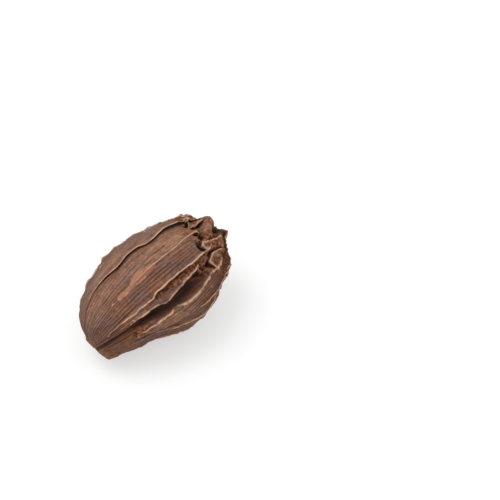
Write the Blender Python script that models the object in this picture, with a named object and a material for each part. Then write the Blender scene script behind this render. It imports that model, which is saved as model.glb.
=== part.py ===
"""A dried black cardamom pod lying on its side.

The husk is one closed skin, laid out as a grid: rows run along the outline from the narrow tip (t = 0)
to the crumpled crown (t = 1), and columns run round the pod. The columns follow the wings, so that every
ragged crest lies on an edge of the mesh. Angles round the pod are in degrees, 0 at the top, and grow
towards -Y. The pod rests on a small flat spot cut at z = 0, and +X points to the crown.
"""

from dataclasses import dataclass

import bmesh
import bpy
import numpy as np
from mathutils import Vector, noise

MM = 0.001

# Driving dimensions, in millimetres along the pod's own bent axis
BODY_LENGTH = 27.4
BODY_RADIUS = 8.8
TOP_TO_SIDE = 0.94
AXIS_CLIMB_DEG = (28.0, 12.0, 2.0)
FLAT_SPOT_DEPTH = 0.42
CROWN_STUB_RADIUS = 1.5
CROWN_STUB_LENGTH = 0.7
CROWN_PIT_WIDTH = 0.7
TIP_DIMPLE = 0.25
SHIFT_TO_CENTRE = (0.20, 0.10)

# The half outline: share of BODY_LENGTH from the tip, share of BODY_RADIUS
HALF_OUTLINE = (
    (0.000, 0.000),
    (0.008, 0.130),
    (0.042, 0.400),
    (0.115, 0.630),
    (0.235, 0.820),
    (0.400, 0.955),
    (0.565, 1.000),
    (0.710, 0.915),
    (0.825, 0.745),
    (0.905, 0.540),
    (0.950, 0.380),
)

# The mesh: rows along, degrees between columns, and how far the columns gather at the crests
ROWS = 55
COLUMN_PITCH_DEG = 3.9
CREST_GATHER = 0.45

# Surface sizes in millimetres
RIB_HEIGHT = 0.13
DENT_DEPTH = 0.22
DENT_SIZE = 5.0
RAGGED_SIZE = 1.6
WANDER_SIZE = 3.2

# Stretches along the pod, as (t where it starts, t where it is complete)
BODY_ENDS = (0.86, 0.92)
RIBS_START = (0.03, 0.15)
RIBS_END = (0.66, 0.76)
COLLAR_STARTS = (0.60, 0.74)
WING_RISE = 0.22
WING_FALL = 0.08


@dataclass(frozen=True)
class Wing:
    """A ragged crest that runs along the pod: its path, as (t, degrees) points, and its sizes in mm."""

    name: str
    path: tuple
    height: float
    foot: float
    start: float
    end: float
    lean: float = 0.4
    collar_height: float = 1.0
    ragged: float = 0.4
    wander: float = 0.18


WINGS = (
    Wing("far_underside", ((0.0, -146), (0.5, -148), (1.0, -150)), 0.45, 0.42, 0.10, 0.93),
    Wing("far_flank", ((0.0, -120), (0.4, -114), (0.7, -118), (1.0, -116)), 0.75, 0.42, 0.12, 0.93, -0.5),
    Wing("far_side", ((0.0, -82), (0.35, -84), (0.7, -80), (1.0, -84)), 0.8, 0.42, 0.10, 0.92, 0.5),
    Wing("back_edge", ((0.0, -46), (0.2, -53), (0.4, -49), (0.6, -52), (1.0, -50)), 0.35, 0.4, 0.08, 0.92, -0.3),
    Wing(
        "top_wing",
        (
            (0.0, -14), (0.2, -22), (0.34, -20), (0.4, -16), (0.46, -18), (0.53, -12),
            (0.57, -11), (0.62, -17), (0.7, -19), (0.76, -16), (1.0, -18),
        ),
        0.8, 0.32, 0.05, 0.88, 0.8,
    ),
    Wing("patch_ridge", ((0.0, 12), (0.3, 13), (0.48, 14), (0.58, 14), (0.66, 12), (1.0, 6)), 0.4, 0.3, 0.28, 0.88),
    Wing(
        "furrow_lip",
        (
            (0.0, 34), (0.2, 37), (0.38, 37), (0.48, 39), (0.62, 39), (0.675, 38),
            (0.7, 29), (0.75, 27), (0.85, 31), (1.0, 34),
        ),
        0.75, 0.34, 0.16, 0.9, 0.7, 1.3,
    ),
    Wing("furrow_ledge", ((0.0, 47), (0.3, 49), (0.46, 53), (0.57, 49), (0.7, 45), (1.0, 46)), 0.35, 0.3, 0.34, 0.68),
    Wing(
        "furrow_wing",
        ((0.0, 66), (0.3, 66), (0.43, 69), (0.6, 69), (0.68, 67), (0.72, 62), (0.78, 58), (1.0, 62)),
        0.9, 0.38, 0.22, 0.9, 0.6, 1.2,
    ),
    Wing("side_fold", ((0.0, 84), (0.5, 84), (0.65, 80), (1.0, 78)), 0.5, 0.34, 0.42, 0.9, 0.3),
    Wing("near_side", ((0.0, 102), (0.3, 98), (0.6, 98), (0.75, 96), (1.0, 94)), 0.55, 0.4, 0.30, 0.92, -0.4, 1.2),
    Wing("near_flank", ((0.0, 128), (0.4, 125), (0.7, 122), (1.0, 126)), 0.6, 0.42, 0.10, 0.93, 0.4),
    Wing("near_underside", ((0.0, 153), (0.5, 154), (1.0, 156)), 0.45, 0.42, 0.12, 0.93),
)


@dataclass(frozen=True)
class Swell:
    """A rounded fold or, with a negative height, a pocket. Place in (t, degrees), sizes in mm."""

    name: str
    t: float
    degrees: float
    along: float
    around: float
    height: float
    flatness: float = 2.0
    lean_round: float = 0.0
    lean_along: float = 0.0


SWELLS = (
    Swell("tip_knob", 0.06, 118, 2.5, 3.8, 1.1, 3.0),
    Swell("near_flank_flat", 0.28, 108, 5.5, 4.2, -0.75),
    Swell("back_flat", 0.58, -60, 4.5, 3.6, -0.5),
    Swell("resting_belly", 0.56, 180, 6.0, 4.0, 0.5, 3.0),
    Swell("crown_lobe", 0.79, 8, 1.4, 1.2, 1.0, 2.6),
    Swell("folded_lobe", 0.775, 36, 2.1, 1.4, 1.0, 3.6, 0.0, -0.5),
    Swell("hooked_lobe", 0.75, 53, 1.2, 0.9, 0.8, 3.0, 0.0, -0.3),
    Swell("red_lobe", 0.785, 78, 1.5, 1.5, 1.1, 2.6, 0.2),
    Swell("back_lobe", 0.74, -38, 1.9, 1.6, 0.55, 2.4),
    Swell("back_crown_lobe", 0.84, -18, 1.4, 1.4, 0.8, 2.6),
    Swell("far_lobe", 0.80, -64, 1.8, 1.7, 0.8, 2.6, -0.2),
    Swell("far_low_lobe", 0.78, -100, 2.0, 1.9, 0.9, 2.6),
    Swell("under_far_lobe", 0.82, -134, 1.7, 1.7, 0.7, 2.4),
    Swell("under_near_lobe", 0.81, 140, 1.7, 1.8, 0.7, 2.4),
    Swell("near_low_lobe", 0.77, 110, 1.7, 1.5, 0.6, 2.4),
    Swell("pocket_under_top_wing", 0.725, -9, 0.9, 0.6, -0.7),
    Swell("pocket_by_short_ridge", 0.765, 3, 0.6, 0.5, -0.7),
    Swell("pocket_before_folded_lobe", 0.7, 20, 0.7, 1.4, -0.6),
    Swell("pocket_behind_crown_lobe", 0.8, 20, 0.9, 0.5, -0.8),
    Swell("pocket_in_furrow_head", 0.69, 56, 0.5, 0.5, -0.9),
    Swell("pocket_by_folded_lobe", 0.74, 44, 0.9, 0.4, -0.8),
    Swell("pocket_by_red_lobe", 0.78, 64, 0.9, 0.5, -0.8),
)


@dataclass(frozen=True)
class Furrow:
    """A groove along the pod. Line, half width and depth are (t, value) points, in degrees, mm and mm."""

    name: str
    line: tuple
    half_width: tuple
    depth: tuple


FURROWS = (
    Furrow(
        "deep_furrow",
        ((0.0, 50), (0.15, 51), (0.3, 54), (0.45, 59), (0.6, 58), (0.7, 56), (1.0, 55)),
        ((0.0, 0.3), (0.24, 0.4), (0.34, 0.9), (0.6, 1.15), (0.72, 0.9), (1.0, 0.6)),
        ((0.0, 0.35), (0.05, 0.8), (0.24, 0.9), (0.36, 1.4), (0.58, 1.4), (0.66, 0.8), (0.72, 0.0), (1.0, 0.0)),
    ),
    Furrow(
        "far_furrow",
        ((0.0, -98), (0.5, -100), (1.0, -98)),
        ((0.0, 0.5), (0.5, 1.3), (1.0, 0.8)),
        ((0.0, 0.0), (0.15, 0.3), (0.5, 0.8), (0.75, 0.4), (0.85, 0.0), (1.0, 0.0)),
    ),
)


def smooth_step(low, high, value):
    """0 below low, 1 above high, and smooth in between."""
    share = np.clip((value - low) / (high - low), 0.0, 1.0)
    return share * share * (3.0 - 2.0 * share)


def curve_through(points, at):
    """A smooth curve with no overshoot through (position, value) points, read at the positions given."""
    place, value = (np.array(column, float) for column in zip(*points))
    step = np.diff(place)
    slope = np.diff(value) / step
    tangent = np.zeros(len(place))
    same_way = slope[:-1] * slope[1:] > 0
    before, after = slope[:-1][same_way], slope[1:][same_way]
    tangent[1:-1][same_way] = 2.0 * before * after / (before + after)
    i = np.clip(np.searchsorted(place, at, side="right") - 1, 0, len(step) - 1)
    u = (at - place[i]) / step[i]
    bend_in, bend_out = tangent[i] * step[i], tangent[i + 1] * step[i]
    return (
        value[i] * (1 + 2 * u) * (1 - u) ** 2
        + bend_in * u * (1 - u) ** 2
        + value[i + 1] * u**2 * (3 - 2 * u)
        + bend_out * u**2 * (u - 1)
    )


def round_curve(points, samples):
    """A Catmull-Rom curve through the points, mirrored past both ends so that it leaves the axis squarely."""
    mirror = np.array([1.0, -1.0])
    knots = np.vstack([points[1] * mirror, points, points[-2] * mirror])
    span = len(points) - 1
    u = np.linspace(0.0, span, samples)
    i = np.minimum(u.astype(int), span - 1)
    f = (u - i)[:, None]
    a, b, c, d = (knots[i + k] for k in range(4))
    return 0.5 * (2 * b + (c - a) * f + (2 * a - 5 * b + 4 * c - d) * f**2 + (3 * b - a - 3 * c + d) * f**3)


def half_outline():
    """The half outline of the body, the crown's pit and the dry stub in it, as (axial mm, radius mm) points."""
    body = [(x * BODY_LENGTH, r * BODY_RADIUS) for x, r in HALF_OUTLINE]
    shoulder = body[-1][0]
    crown = [
        (shoulder + 0.25, CROWN_STUB_RADIUS + CROWN_PIT_WIDTH + 0.6),
        (shoulder - 0.05, CROWN_STUB_RADIUS + CROWN_PIT_WIDTH / 2),
        (shoulder + 0.45, CROWN_STUB_RADIUS * 0.98),
        (shoulder + CROWN_STUB_LENGTH * 0.85, CROWN_STUB_RADIUS),
        (shoulder + CROWN_STUB_LENGTH, CROWN_STUB_RADIUS * 0.72),
        (shoulder + CROWN_STUB_LENGTH, 0.0),
    ]
    line = round_curve(np.array(body + crown), 600)
    line[:, 1] = np.maximum(line[:, 1], 0.0)
    return line


def bent_axis(axial):
    """(x, z, climb) of the centre line at axial distances from the tip, in mm and radians."""
    s = np.linspace(0.0, BODY_LENGTH + CROWN_STUB_LENGTH, 300)
    climb = np.radians(np.interp(s / s[-1], (0.0, 0.5, 1.0), AXIS_CLIMB_DEG))
    step = s[1] - s[0]
    x = np.r_[0.0, np.cumsum(np.cos(climb[:-1])) * step]
    z = np.r_[0.0, np.cumsum(np.sin(climb[:-1])) * step]
    return np.interp(axial, s, x), np.interp(axial, s, z), np.interp(axial, s, climb)


def noise_at(points, size, offset):
    """Smooth noise from -1 to 1 at an array of (x, y, z) points in mm, with bumps about size mm across."""
    spots = points.reshape(-1, 3) / size + offset
    values = [noise.noise(Vector(spot)) for spot in spots]
    return np.array(values).reshape(points.shape[:-1])


def row_places():
    """The t of each row: closer together at the tip and in the crumpled collar."""
    t = np.linspace(0.0, 1.0, 800)
    crowding = 1.0 + 1.2 * np.exp(-((t / 0.05) ** 2)) + 1.1 * smooth_step(0.62, 0.72, t)
    pace = np.r_[0.0, np.cumsum((crowding[1:] + crowding[:-1]) / 2)]
    return np.interp(np.linspace(0.0, pace[-1], ROWS + 1), pace, t)


class Husk:
    """The skin of the pod as a grid of rows (along) by columns (round)."""

    def __init__(self):
        """Lays out the rows and columns and works out every point."""
        line = half_outline()
        length = np.r_[0.0, np.cumsum(np.hypot(*np.diff(line, axis=0).T))]
        run = np.gradient(line, axis=0)
        run /= np.linalg.norm(run, axis=1)[:, None]
        self.skin_length = length[-1]
        self.t = row_places()[1:-1]
        at = self.t * self.skin_length
        self.axial = np.interp(at, length, line[:, 0])
        self.radius = np.interp(at, length, line[:, 1])
        self.run_axial = np.interp(at, length, run[:, 0])[:, None]
        self.run_radial = np.interp(at, length, run[:, 1])[:, None]
        self.paths = np.array([self.wing_path(i, w) for i, w in enumerate(WINGS)])
        self.degrees, self.rib_sign = self.columns()
        nothing = np.zeros_like(self.degrees)
        self.plain = self.place(nothing, nothing, nothing)
        self.points = self.place(*self.relief())
        self.tip = self.on_axis(TIP_DIMPLE)
        self.stub_end = self.on_axis(line[-1, 0] - TIP_DIMPLE / 2)

    def wing_path(self, index, wing):
        """A wing's angle in each row, with its wander."""
        spots = np.stack([self.axial, np.full_like(self.axial, 9.0 * index), np.zeros_like(self.axial)], -1)
        wander = noise_at(spots, WANDER_SIZE, 3.7) + 0.5 * noise_at(spots, WANDER_SIZE / 3, 8.1)
        calm = smooth_step(0.02, 0.2, self.t) * (1 - smooth_step(*BODY_ENDS, self.t))
        swing = np.degrees(wing.wander * wander * calm / np.maximum(self.radius, 2.0))
        return curve_through(wing.path, self.t) + swing

    def columns(self):
        """Spreads the columns between the wings, gathered at the crests, and marks which are ribs."""
        degrees, ribs = [], []
        following = np.vstack([self.paths[1:], self.paths[:1] + 360.0])
        for low, high in zip(self.paths, following):
            count = max(4, 2 * round((high - low).mean() / COLUMN_PITCH_DEG / 2))
            q = np.arange(count) / count
            share = q - CREST_GATHER / (2 * np.pi) * np.sin(2 * np.pi * q)
            degrees.append(low[:, None] + (high - low)[:, None] * share)
            alternate = np.where(np.arange(count) % 2, -1.0, 1.0)
            alternate[0] = 0.0
            ribs.append(alternate)
        return np.hstack(degrees), np.hstack(ribs)[None, :]

    def round_distance(self, centre):
        """Signed distance in mm round the pod from an angle, the short way."""
        turn = (self.degrees - centre + 180.0) % 360.0 - 180.0
        return np.radians(turn) * self.radius[:, None]

    def wing_height(self, index, wing):
        """How high a wing's crest stands in each row, in mm."""
        rise = smooth_step(wing.start, wing.start + WING_RISE, self.t)
        fall = 1 - smooth_step(wing.end - WING_FALL, wing.end, self.t)
        spots = np.stack([self.axial, np.full_like(self.axial, 5.0 * index), np.ones_like(self.axial)], -1)
        torn = noise_at(spots, RAGGED_SIZE, 1.3) + 0.6 * noise_at(spots, RAGGED_SIZE / 2.5, 5.9)
        at_collar = 1.0 + (wing.collar_height - 1.0) * smooth_step(*COLLAR_STARTS, self.t)
        return wing.height * rise * fall * at_collar * (1.0 + wing.ragged * torn)

    def relief(self):
        """Outward, round and along displacement of every grid point, in mm."""
        t = self.t[:, None]
        outward, sideways, lengthways = (np.zeros_like(self.degrees) for _ in range(3))
        for furrow in FURROWS:
            half_width = curve_through(furrow.half_width, self.t)[:, None]
            depth = curve_through(furrow.depth, self.t)[:, None]
            away = self.round_distance(curve_through(furrow.line, self.t)[:, None]) / half_width
            outward -= depth * np.exp(-np.abs(away) ** 3)
        for index, wing in enumerate(WINGS):
            fade = np.exp(-np.abs(self.round_distance(self.paths[index][:, None])) / wing.foot)
            fin = self.wing_height(index, wing)[:, None] * fade
            outward += fin
            sideways += wing.lean * fin * fade
        for swell in SWELLS:
            along = (t - swell.t) * self.skin_length / swell.along
            across = self.round_distance(swell.degrees) / swell.around
            bulge = swell.height * np.exp(-((along**2 + across**2) ** (swell.flatness / 2)))
            outward += bulge
            sideways += swell.lean_round * bulge
            lengthways += swell.lean_along * bulge
        outward += RIB_HEIGHT * self.rib_sign * smooth_step(*RIBS_START, t) * (1 - smooth_step(*RIBS_END, t))
        in_body = smooth_step(0.0, 0.08, t) * (1 - smooth_step(*BODY_ENDS, t))
        outward += DENT_DEPTH * noise_at(self.plain, DENT_SIZE, 2.2) * in_body
        return outward, sideways, lengthways

    def place(self, outward, sideways, lengthways):
        """Points in mm of the whole grid, for displacements out of the skin, round it and along it."""
        turn = np.radians(self.degrees)
        axial = self.axial[:, None] - outward * self.run_radial + lengthways * self.run_axial
        reach = self.radius[:, None] + outward * self.run_axial + lengthways * self.run_radial
        up = (reach * np.cos(turn) - sideways * np.sin(turn)) * TOP_TO_SIDE
        near = reach * np.sin(turn) + sideways * np.cos(turn)
        x, z, climb = bent_axis(axial)
        return np.stack([x - np.sin(climb) * up, -near, z + np.cos(climb) * up], axis=-1)

    def on_axis(self, axial):
        """A point of the centre line."""
        x, z, _ = bent_axis(axial)
        return np.array([x, 0.0, z])

    def resting_shift(self):
        """The move that centres the pod over the origin and puts its flat spot at z = 0."""
        low, high = self.plain.reshape(-1, 3).min(axis=0), self.plain.reshape(-1, 3).max(axis=0)
        middle_x = (low[0] + high[0]) / 2
        return np.array([SHIFT_TO_CENTRE[0] - middle_x, SHIFT_TO_CENTRE[1], -low[2] - FLAT_SPOT_DEPTH])


def skin_mesh(husk):
    """The closed mesh of the husk, in metres."""
    shift = husk.resting_shift()
    mesh = bpy.data.meshes.new("pod")
    skin = bmesh.new()
    grid = [[skin.verts.new(Vector((point + shift) * MM)) for point in row] for row in husk.points]
    tip = skin.verts.new(Vector((husk.tip + shift) * MM))
    stub_end = skin.verts.new(Vector((husk.stub_end + shift) * MM))
    columns = len(grid[0])
    for j in range(columns):
        k = (j + 1) % columns
        skin.faces.new((tip, grid[0][k], grid[0][j]))
        skin.faces.new((stub_end, grid[-1][j], grid[-1][k]))
        for lower, upper in zip(grid, grid[1:]):
            skin.faces.new((lower[j], lower[k], upper[k], upper[j]))
    bmesh.ops.triangulate(skin, faces=[f for f in skin.faces if len(f.verts) > 3], quad_method="SHORT_EDGE")
    bmesh.ops.recalc_face_normals(skin, faces=skin.faces)
    skin.to_mesh(mesh)
    skin.free()
    return mesh


def husk_material():
    """The dry, matt, dark brown husk."""
    material = bpy.data.materials.new("husk")
    material.use_nodes = True
    shader = material.node_tree.nodes["Principled BSDF"]
    shader.inputs["Base Color"].default_value = (0.165, 0.088, 0.055, 1.0)
    shader.inputs["Roughness"].default_value = 0.72
    shader.inputs["Metallic"].default_value = 0.0
    return material


def resting_plane_cutter():
    """A block under the floor line, which cuts the small flat spot that the pod rests on."""
    depth = 10 * MM
    bpy.ops.mesh.primitive_cube_add(size=1.0, location=(0.0, 0.0, -depth / 2))
    cutter = bpy.context.object
    cutter.name = "resting_plane_cutter"
    cutter.dimensions = (2 * BODY_LENGTH * MM, 2 * BODY_LENGTH * MM, depth)
    bpy.ops.object.transform_apply(location=False, rotation=False, scale=True)
    cutter.hide_render = True
    cutter.display_type = "WIRE"
    return cutter


def build_pod():
    """The pod object, with its resting spot cut flat."""
    pod = bpy.data.objects.new("pod", skin_mesh(Husk()))
    bpy.context.scene.collection.objects.link(pod)
    pod.data.materials.append(husk_material())
    pod.data.shade_smooth()
    cut = pod.modifiers.new("flat_resting_spot", "BOOLEAN")
    cut.operation = "DIFFERENCE"
    cut.solver = "EXACT"
    cut.object = resting_plane_cutter()
    return pod


def main():
    """Clears the scene and builds the pod."""
    for old in list(bpy.data.objects):
        bpy.data.objects.remove(old)
    build_pod()


main()
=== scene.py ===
"""Looks of a dried black cardamom pod lying on a plain white surface.

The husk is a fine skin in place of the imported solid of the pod: the same bent, egg-shaped body, wings,
furrow and crumpled crown, with the ribs, wrinkles, torn crests and pockets that the solid is too coarse for.
Places on the husk are (t, degrees): t runs along the skin from the narrow tip (0) to the crown (1), and the
degrees go round from the top (0) towards -Y. Sizes are in millimetres until a mesh is made.
"""

import logging
import math
import random
from dataclasses import dataclass, field
from enum import Enum
from typing import Sequence

import bpy
import numpy as np
from mathutils import Matrix, Vector, noise

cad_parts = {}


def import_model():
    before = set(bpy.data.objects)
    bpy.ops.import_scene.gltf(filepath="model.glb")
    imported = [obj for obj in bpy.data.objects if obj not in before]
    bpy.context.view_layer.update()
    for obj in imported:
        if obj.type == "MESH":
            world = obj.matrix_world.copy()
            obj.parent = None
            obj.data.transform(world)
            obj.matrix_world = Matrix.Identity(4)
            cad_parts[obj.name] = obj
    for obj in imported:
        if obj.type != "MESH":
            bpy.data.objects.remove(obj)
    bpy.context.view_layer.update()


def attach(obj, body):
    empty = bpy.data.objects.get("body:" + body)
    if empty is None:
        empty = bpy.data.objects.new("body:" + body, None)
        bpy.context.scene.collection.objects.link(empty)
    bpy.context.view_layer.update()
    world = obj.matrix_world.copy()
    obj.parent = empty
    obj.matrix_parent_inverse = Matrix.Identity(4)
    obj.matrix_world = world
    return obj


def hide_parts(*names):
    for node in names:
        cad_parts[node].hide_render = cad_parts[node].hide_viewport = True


MM = 0.001
NODE = "pod"
BODY = "root"
GRAIN = "grain"
NOISE_MIDDLE = 0.5
SOFT_EDGE = 2.0
BEAD_EDGE = 2.5
FIRM_EDGE = 3.0

log = logging.getLogger("cardamom_pod")

Points = tuple[tuple[float, float], ...]
Span = tuple[float, float]
Colour = tuple[float, float, float]


def smooth_step(low: float, high: float, value: np.ndarray) -> np.ndarray:
    """Eases from 0, at low and below, to 1, at high and above."""
    share = np.clip((value - low) / (high - low), 0.0, 1.0)
    return share * share * (3.0 - 2.0 * share)


def curve_through(points: Points, at: np.ndarray) -> np.ndarray:
    """Reads a smooth curve through a few points, with no overshoot.

    Args:
        points: (position, value) pairs in rising order of position.
        at: The positions to read.

    Returns:
        The curve's value at each position.
    """
    place, value = (np.array(column, float) for column in zip(*points))
    step = np.diff(place)
    slope = np.diff(value) / step
    tangent = np.zeros(len(place))
    same_way = slope[:-1] * slope[1:] > 0
    before, after = slope[:-1][same_way], slope[1:][same_way]
    tangent[1:-1][same_way] = 2.0 * before * after / (before + after)
    i = np.clip(np.searchsorted(place, at, side="right") - 1, 0, len(step) - 1)
    u = (at - place[i]) / step[i]
    bend_in, bend_out = tangent[i] * step[i], tangent[i + 1] * step[i]
    return (
        value[i] * (1 + 2 * u) * (1 - u) ** 2
        + bend_in * u * (1 - u) ** 2
        + value[i + 1] * u**2 * (3 - 2 * u)
        + bend_out * u**2 * (u - 1)
    )


def round_curve(points: np.ndarray, samples: int) -> np.ndarray:
    """Draws a Catmull-Rom curve, mirrored past both ends so that it leaves the axis squarely.

    Args:
        points: The knots as rows of (axial, radius).
        samples: How many points to return.

    Returns:
        Points on the curve.
    """
    mirror = np.array([1.0, -1.0])
    knots = np.vstack([points[1] * mirror, points, points[-2] * mirror])
    span = len(points) - 1
    u = np.linspace(0.0, span, samples)
    i = np.minimum(u.astype(int), span - 1)
    f = (u - i)[:, None]
    a, b, c, d = (knots[i + k] for k in range(4))
    return 0.5 * (2 * b + (c - a) * f + (2 * a - 5 * b + 4 * c - d) * f**2 + (3 * b - a - 3 * c + d) * f**3)


@dataclass(frozen=True)
class Nearness:
    """Where each grid point lies beside a path: its distance in mm, its side of it (1 on the left, -1 on the
    right), how far along the path its nearest point is, from 0 to 1, and the path's heading there."""

    distance: np.ndarray
    side: np.ndarray
    share: np.ndarray
    heading: np.ndarray

    @classmethod
    def to_path(cls, along: np.ndarray, around: np.ndarray, knots: np.ndarray) -> "Nearness":
        """Measures every grid point against a path of straight runs.

        Args:
            along: Each point's distance along the skin, in mm.
            around: Its distance round the pod, in mm.
            knots: The path's corners as rows of (along, around).

        Returns:
            The nearness of every point.
        """
        nearest = np.full(around.shape, np.inf)
        side, share, heading = (np.zeros(around.shape) for _ in range(3))
        for step, (first, last) in enumerate(zip(knots[:-1], knots[1:])):
            run = last - first
            across, up = along - first[0], around - first[1]
            u = np.clip((across * run[0] + up * run[1]) / (run @ run), 0.0, 1.0)
            distance = np.hypot(across - u * run[0], up - u * run[1])
            is_nearer = distance < nearest
            nearest = np.where(is_nearer, distance, nearest)
            side = np.where(is_nearer, np.sign(run[0] * up - run[1] * across), side)
            share = np.where(is_nearer, (step + u) / (len(knots) - 1), share)
            heading = np.where(is_nearer, math.atan2(run[1], run[0]), heading)
        return cls(nearest, side, share, heading)


@dataclass(frozen=True)
class Pattern:
    """Smooth random bumps: their width in mm, their own offset in the noise, their height, and how much
    closer together they lie along the pod than round it (below 1 draws them out along it)."""

    size: float
    offset: float
    amount: float = 1.0
    along: float = 1.0

    def at(self, points: np.ndarray, shift: float = 0.0) -> np.ndarray:
        """Reads the bumps.

        Args:
            points: Positions in mm, as x, y and z last, with z along the pod where the bumps are drawn out.
            shift: Added to the offset, so that each of several uses has bumps of its own.

        Returns:
            Their height at each position, from -amount to amount.
        """
        spots = (points * (1.0, 1.0, self.along)).reshape(-1, 3) / self.size + (self.offset + shift)
        values = np.fromiter((noise.noise(spot) for spot in spots.tolist()), float, len(spots))
        return self.amount * values.reshape(points.shape[:-1])


def layered(patterns: Sequence[Pattern], points: np.ndarray, shift: float = 0.0) -> np.ndarray:
    """Several patterns in one."""
    return sum(pattern.at(points, shift) for pattern in patterns)


WING_WANDER = (Pattern(3.2, 3.7), Pattern(3.2 / 3, 8.1, 0.4))
WING_TEARS = (Pattern(1.6, 1.3), Pattern(1.6 / 2.5, 5.9, 0.6), Pattern(1.6 / 5, 2.6, 0.35))
RIM_TEARS = (Pattern(0.8, 11.0), Pattern(0.3, 17.0, 0.6))
FLECK_GRIT = Pattern(0.22, 6.6, 1.6)
RIB_WOBBLE = Pattern(1.8, 4.4, 0.7, 0.16)
RIB_STRENGTH = Pattern(1.6, 7.3, 0.9, 0.3)
RIB_STREAKS = (Pattern(0.5, 1.9, 1.0, 0.12), Pattern(0.25, 3.9, 0.6, 0.2))
RIB_BEADS = Pattern(0.45, 8.8, 0.25, 0.8)
DENTS = Pattern(5.0, 2.2, 0.22)
WRINKLES = (Pattern(0.7, 6.1, 1.0, 0.4), Pattern(0.3, 4.1, 0.6))
COLLAR_WARP = tuple(Pattern(1.5, offset) for offset in (1.5, 4.5, 7.5))
COLLAR_FOLDS = Pattern(1.9, 9.4, 2.4)
COLLAR_CREASES = Pattern(0.8, 2.9, 2.2)
SKIN_GRIT = Pattern(0.4, 3.3)
WARTS = Pattern(0.45, 5.5)


class Drop(Enum):
    """The side on which a wing falls away steeply: towards more degrees, towards fewer, or on neither."""

    NEAR = 1
    FAR = -1
    NEITHER = 0


@dataclass(frozen=True)
class Wing:
    """A ragged crest along the pod: its path as (t, degrees) points, and its sizes in mm."""

    name: str
    path: Points
    height: float
    foot: float
    start: float
    end: float
    lean: float = 0.4
    collar_height: float = 1.0
    ragged: float = 0.4
    wander: float = 0.18
    drop: Drop = Drop.NEITHER


@dataclass(frozen=True)
class Rim:
    """A sharp folded edge in any direction. Path as (t, degrees) points, sizes in mm.

    Its steep side is on the left of the path, seen with t to the right and degrees upwards.
    """

    name: str
    path: Points
    height: float
    foot: float = 0.5
    pocket: float = 0.0
    lean: float = 0.5
    ragged: float = 0.35


@dataclass(frozen=True)
class Swell:
    """A rounded fold or, with a negative height, a pocket. Place in (t, degrees), sizes in mm."""

    name: str
    t: float
    degrees: float
    along: float
    around: float
    height: float
    flatness: float = SOFT_EDGE
    lean_round: float = 0.0
    lean_along: float = 0.0


@dataclass(frozen=True)
class Furrow:
    """A groove along the pod. Line, half width and depth are (t, value) points, in degrees, mm and mm."""

    name: str
    line: Points
    half_width: Points
    depth: Points


@dataclass(frozen=True)
class Patch:
    """A stretch of skin with its own finish, soft at its edges. Place in (t, degrees), half sizes in mm."""

    name: str
    t: float
    degrees: float
    along: float
    around: float


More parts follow.
